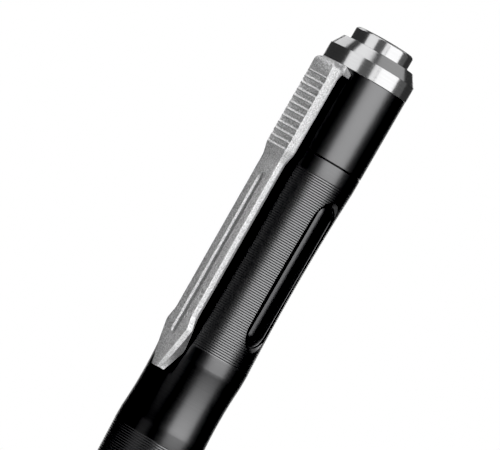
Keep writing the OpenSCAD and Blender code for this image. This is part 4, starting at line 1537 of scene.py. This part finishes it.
    def collar(self) -> Object:
        """Make the collar ring that the bezel clamps."""
        low, high = self.claw_high - self.ring_h, self.claw_high
        corners = [
            Corner(self.ring_bore, low, STEP_R), Corner(self.ring_r, low, STEP_R),
            Corner(self.ring_r, high, STEP_R), Corner(self.ring_bore, high, STEP_R),
        ]
        return new_object("collar", turned("collar", corners, HIDDEN_SEGMENTS))

    def build(self, fitter: Fitter) -> None:
        """Make the clip in one piece, its serrated arm joined to the claw and the collar ring."""
        slot = "blasted_clip_metal"
        piece = self.arm()
        self.serration_recipe(fitter.palette[slot]).grow(
            piece,
            {
                "Start": (self.top - self.serration_start) * MM, "Pitch": self.serration_pitch * MM,
                "Depth": self.serration_depth * MM, "Step": self.serration_step,
                "Run In": self.serration_run_in, "Sink": self.serration_sink, "Lip": self.serration_lip,
                "Count": self.serration_count,
            },
        )
        carve(piece, self.claw(), Cut.ADD)
        carve(piece, self.collar(), Cut.ADD)
        fitter.palette.dress(piece, slot)
        shade(piece, self.GROOVE_EDGE_DEGREES)
        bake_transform(piece)
        fitter.stand_for(piece, slot, "clip_arm", "clip_collar")


# Head


@dataclass
class Head:
    """The head's shell with cooling grooves, its bezel, lens, reflector and light source."""

    # Bezel
    chamfer_h: float = 1.75
    chamfer_w: float = 1.1
    opening_r: float = 4.7
    lip_t: float = 1.05
    skirt_r: float = 6.3
    lens_bore: float = 5.7
    # Shell
    fin_count: int = 3
    fin_pitch: float = 2.0
    fin_w: float = 1.0
    fin_depth: float = 0.45
    smooth_l: float = 8.6
    skirt_clear: float = 0.1
    pill_bore: float = 5.95
    stop_bore: float = 5.6
    stop_end: float = 20.2
    socket: Socket = field(default_factory=Socket)
    # Reflector and gasket
    led_hole_r: float = 1.9
    mouth_r: float = 5.2
    reflector_wall: float = 0.45
    reflector_rim_t: float = 0.8
    gasket_inner_r: float = 4.75

    BOWL_STEPS = 24
    DOME_STEPS = 12

    def bezel(self) -> list[Corner]:
        """Return the outline of the head's bezel."""
        r, low, high = turned_size("head_bezel")
        seam = span("head_shell").low.z
        return [
            Corner(self.opening_r, low, SOFT_R), Corner(r - self.chamfer_w, low, RIM_R),
            Corner(r, low + self.chamfer_h, RIM_R), Corner(r, seam, RIM_R), Corner(self.skirt_r, seam),
            Corner(self.skirt_r, high, EDGE_R), Corner(self.lens_bore, high),
            Corner(self.lens_bore, low + self.lip_t), Corner(self.opening_r, low + self.lip_t),
        ]

    def shell(self) -> list[Corner]:
        """Return the outline of the head's shell, with its cooling grooves."""
        r, low, high = turned_size("head_shell")
        skirt_seat = span("head_bezel").high.z + self.skirt_clear
        pill_end = span("led_pill").high.z
        outside = [Corner(self.skirt_r + self.skirt_clear, low), Corner(r, low, END_R)]
        for k in range(self.fin_count):
            start = low + self.smooth_l + k * self.fin_pitch
            end = start + self.fin_w
            outside += [
                Corner(r, start, STEP_R), Corner(r - self.fin_depth, start, SOFT_R),
                Corner(r - self.fin_depth, end, SOFT_R), Corner(r, end, STEP_R),
            ]
        inside = [
            Corner(self.stop_bore, self.stop_end), Corner(self.stop_bore, pill_end),
            Corner(self.pill_bore, pill_end), Corner(self.pill_bore, skirt_seat),
            Corner(self.skirt_r + self.skirt_clear, skirt_seat),
        ]
        return outside + self.socket.corners(r, high, -1, self.stop_end) + inside

    def lens(self) -> list[Corner]:
        """Return the outline of the lens, a disc with eased edges."""
        r, low, high = turned_size("lens")
        return [Corner(0, low), Corner(r, low, SOFT_R), Corner(r, high, SOFT_R), Corner(0, high)]

    def gasket(self) -> list[Corner]:
        """Return the outline of the lens gasket, with rounded edges."""
        r, low, high = turned_size("lens_gasket")
        places = ((self.gasket_inner_r, low), (r, low), (r, high), (self.gasket_inner_r, high))
        return [Corner(*place, SOFT_R) for place in places]

    def bowl(self, wall: float, depth: float) -> list[Corner]:
        """Return the reflector's parabola from its back to its mouth, moved out by a wall."""
        _, low, high = turned_size("reflector")
        rise = (self.mouth_r**2 - self.led_hole_r**2) / (high - low)
        corners = []
        for step in range(self.BOWL_STEPS + 1):
            ahead = depth * step / self.BOWL_STEPS
            r = math.sqrt(self.led_hole_r**2 + rise * ahead) + wall
            corners.append(Corner(r, high - ahead))
        return corners

    def reflector(self) -> list[Corner]:
        """Return the outline of the reflector, a bowl with a rim that seats under the lens."""
        r, low, high = turned_size("reflector")
        inside = self.bowl(0.0, high - low)
        outside = self.bowl(self.reflector_wall, high - low - self.reflector_rim_t)
        rim = [Corner(r, low, EDGE_R), Corner(r, low + self.reflector_rim_t, EDGE_R)]
        return inside + rim + outside[::-1]

    def dome(self) -> list[Corner]:
        """Return the outline of the light source's dome."""
        r, _, base = turned_size("led_dome")
        turns = [math.pi / 2 * k / self.DOME_STEPS for k in range(self.DOME_STEPS + 1)]
        return [Corner(r * math.sin(a), base - r * math.cos(a)) for a in turns] + [Corner(0, base)]

    def build(self, fitter: Fitter) -> None:
        """Make the head's pieces and fasten them to the frame."""
        fitter.turn("head_ring", self.bezel(), "barrel", "polished_steel", "head_bezel")
        fitter.turn("finned_head", self.shell(), "barrel", "black_anodised", "head_shell")
        fitter.turn("clear_lens", self.lens(), "barrel", "lens_glass", "lens")
        fitter.turn("lens_seal", self.gasket(), "barrel", "black_rubber", "lens_gasket")
        fitter.turn("bright_bowl", self.reflector(), "barrel", "reflector_bright", "reflector")
        fitter.turn("phosphor_dome", self.dome(), "barrel", "led_phosphor", "led_dome")


# Studio


class Receivers(Enum):
    """The finishes that a panel shines on."""

    ALL = frozenset(FINISHES)
    CLIP = frozenset({"blasted_clip_metal"})
    BRIGHT = frozenset({"blasted_clip_metal", "polished_steel"})
    DARK = frozenset({"black_anodised", "black_inlay"})
    PALE = ALL - DARK
    REST = ALL - CLIP


@dataclass(frozen=True)
class Softbox:
    """A soft light panel, given by the angles that it covers as the tail sees it.

    Azimuths are measured from the camera's side, to the right, and elevations from the level.
    """

    name: str
    azimuths: tuple[float, float]
    elevations: tuple[float, float]
    radiance: float
    distance: float = 450.0
    receivers: Receivers = Receivers.ALL

    WATTS_PER_RADIANCE = math.pi

    def place(self, studio: "Studio", pieces: dict[str, list[Object]]) -> None:
        """Hang the panel so that it faces the tail.

        Args:
            studio: The studio that gives the camera's side.
            pieces: The finished pieces by slot.
        """
        turn, lift = (math.radians(sum(pair) / 2) for pair in (self.azimuths, self.elevations))
        level = studio.towards * math.cos(turn) + studio.right * math.sin(turn)
        out = level * math.cos(lift) + Vector((0, 0, 1)) * math.sin(lift)
        light = bpy.data.lights.new(self.name, "AREA")
        light.shape = "RECTANGLE"
        light.size = self.reach(self.azimuths) * math.cos(lift)
        light.size_y = self.reach(self.elevations)
        light.energy = self.radiance * light.size * light.size_y * self.WATTS_PER_RADIANCE
        lamp = bpy.data.objects.new(self.name, light)
        lamp.location = studio.lit_point + out * self.distance * MM
        lamp.rotation_euler = (-out).to_track_quat("-Z", "Y").to_euler()
        lamp.visible_camera = False
        bpy.context.scene.collection.objects.link(lamp)
        if self.receivers is not Receivers.ALL:
            lit = bpy.data.collections.new(f"{self.name}_receivers")
            for slot in sorted(self.receivers.value):
                for piece in pieces.get(slot, []):
                    lit.objects.link(piece)
            lamp.light_linking.receiver_collection = lit

    def reach(self, angles: tuple[float, float]) -> float:
        """Return the panel's size in metres for the angles that it covers."""
        return 2 * self.distance * MM * math.tan(math.radians(angles[1] - angles[0]) / 2)


@dataclass
class Studio:
    """The camera at the photograph's angle, the light panels, the backdrop and the floor."""

    # Camera, with its clipping range in metres
    azimuth: float = 37.0
    elevation: float = -0.8
    roll: float = 30.0
    distance: float = 660.0
    frame_w: float = 72.7
    target_z: float = 93.45
    target_shift: float = -3.78
    sensor: float = 36.0
    clip_range: tuple[float, float] = (0.01, 50.0)
    # Floor, backdrop, tone and light panels
    floor_r: float = 120.0
    floor_segments: int = 128
    lit_z: float = 105.0
    backdrop: float = 1.0
    gloom: float = 0.1
    black_level: float = 0.02
    panels: tuple[Softbox, ...] = (
        Softbox("right_panel", (20.0, 78.0), (-7.2, 40.0), 1.9, receivers=Receivers.PALE),
        Softbox("right_inner_panel", (6.0, 20.0), (-7.2, 40.0), 1.5, receivers=Receivers.PALE),
        Softbox("right_dark_panel", (12.0, 72.0), (-7.2, 42.0), 2.75, receivers=Receivers.DARK),
        Softbox("right_ring_lift", (12.0, 70.0), (24.0, 56.0), 1.4, receivers=Receivers.DARK),
        Softbox("left_panel", (-66.0, -23.0), (-4.0, 46.0), 1.42, receivers=Receivers.BRIGHT),
        Softbox("left_dark_panel", (-62.0, -27.0), (18.0, 46.0), 0.5, receivers=Receivers.DARK),
        Softbox("left_fill", (-60.0, -28.0), (-30.0, -4.0), 0.2, receivers=Receivers.DARK),
        Softbox("front_fill", (-23.0, 6.0), (-30.0, 30.0), 0.1, 800.0, Receivers.BRIGHT),
        Softbox("clip_groove_lift", (-34.0, -6.0), (-4.0, 30.0), 2.0, receivers=Receivers.CLIP),
        Softbox("clip_nose_lift", (10.0, 58.0), (-50.0, -8.0), 1.5, receivers=Receivers.CLIP),
        Softbox("clip_side_lift", (85.0, 130.0), (-50.0, -8.0), 0.3, receivers=Receivers.CLIP),
        Softbox("clip_low_lift", (-110.0, -40.0), (-38.0, -22.0), 0.6, receivers=Receivers.CLIP),
        Softbox("clip_ridge_lift", (-115.0, -45.0), (44.0, 78.0), 1.3, receivers=Receivers.CLIP),
        Softbox("top_left_panel", (-83.0, -6.0), (51.0, 70.0), 1.45),
        Softbox("top_right_panel", (8.0, 120.0), (42.0, 75.0), 0.5),
        Softbox("back_left_panel", (-152.0, -97.0), (17.0, 46.0), 1.1, receivers=Receivers.REST),
        Softbox("right_fade", (78.0, 108.0), (-30.0, 30.0), 0.11, receivers=Receivers.BRIGHT),
        Softbox("back_panel", (155.0, 205.0), (25.0, 60.0), 0.8),
        Softbox("back_low_panel", (158.0, 202.0), (-40.0, 20.0), 1.2),
        Softbox("back_dark_panel", (158.0, 202.0), (-40.0, 20.0), 1.2, receivers=Receivers.DARK),
    )

    def __post_init__(self) -> None:
        """Work out the camera's axes."""
        turn = math.radians(self.azimuth)
        self.right = Vector((math.cos(turn), math.sin(turn), 0))
        self.towards = Vector((math.sin(turn), -math.cos(turn), 0))
        self.lit_point = Vector((0, 0, self.lit_z * MM))

    def camera(self) -> None:
        """Set up the camera with the photograph's angle, lean and framing."""
        lift, lean = math.radians(self.elevation), math.radians(self.roll)
        back = self.towards * math.cos(lift) + Vector((0, 0, 1)) * math.sin(lift)
        upright = back.cross(self.right)
        across = self.right * math.cos(lean) + upright * math.sin(lean)
        up = upright * math.cos(lean) - self.right * math.sin(lean)
        target = Vector((0, 0, self.target_z)) + self.right * self.target_shift
        data = bpy.data.cameras.new("camera")
        data.sensor_width = self.sensor
        data.lens = self.sensor * self.distance / self.frame_w
        data.clip_start, data.clip_end = self.clip_range
        camera = bpy.data.objects.new("camera", data)
        camera.matrix_world = self.pose(across, up, back, (target + back * self.distance) * MM)
        bpy.context.scene.collection.objects.link(camera)
        bpy.context.scene.camera = camera

    @staticmethod
    def pose(across: Vector, up: Vector, back: Vector, place: Vector) -> Matrix:
        """Return a matrix from three axes and a place."""
        rows = [[across[k], up[k], back[k], place[k]] for k in range(3)]
        return Matrix(rows + [[0, 0, 0, 1]])

    def world(self) -> None:
        """Make the backdrop white for the camera and dim for everything that reflects it."""
        world = bpy.data.worlds.new("backdrop")
        world.use_nodes = True
        tree = world.node_tree
        seen = tree.nodes["Background"]
        feed(tree, seen.inputs["Color"], (1, 1, 1, 1))
        feed(tree, seen.inputs["Strength"], self.backdrop)
        reflected = add_node(tree, "ShaderNodeBackground", {"Strength": self.gloom})
        path = add_node(tree, "ShaderNodeLightPath", {})
        inputs = {"Fac": path.outputs["Is Camera Ray"], 1: reflected.outputs[0], 2: seen.outputs[0]}
        mix = add_node(tree, "ShaderNodeMixShader", inputs)
        feed(tree, tree.nodes["World Output"].inputs["Surface"], mix.outputs[0])
        bpy.context.scene.world = world

    def floor(self, fitter: Fitter) -> None:
        """Lay a plain pale disc under the head."""
        build = bmesh.new()
        bmesh.ops.create_circle(
            build, cap_ends=True, segments=self.floor_segments, radius=self.floor_r * MM
        )
        disc = new_object("floor", mesh_from(build, "floor"))
        fitter.palette.dress(disc, "pale_floor")
        fitter.pieces["pale_floor"] = [disc]

    def tone(self) -> None:
        """Set the plain view transform, with blacks as deep as the photograph's."""
        view = bpy.context.scene.view_settings
        view.view_transform = "Standard"
        view.look = "None"
        view.use_curve_mapping = True
        view.curve_mapping.black_level = (self.black_level,) * 3
        view.curve_mapping.update()

    def build(self, fitter: Fitter) -> None:
        """Set up the camera, backdrop, lights and floor."""
        self.camera()
        self.world()
        self.tone()
        self.floor(fitter)
        for panel in self.panels:
            panel.place(self, fitter.pieces)
        log.info("studio: %d panels", len(self.panels))


# Whole light


def main() -> None:
    """Build every sub-assembly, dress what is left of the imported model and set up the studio."""
    logging.basicConfig(level=logging.INFO, format="%(name)s: %(message)s", stream=sys.stdout)
    fitter = Fitter(Palette())
    Barrel().build(fitter)
    clip = Clip()
    TailSwitch().build(fitter, clip)
    clip.build(fitter)
    Head().build(fitter)
    fitter.dress_rest()
    Studio().build(fitter)


if __name__ == "__main__":
    main()
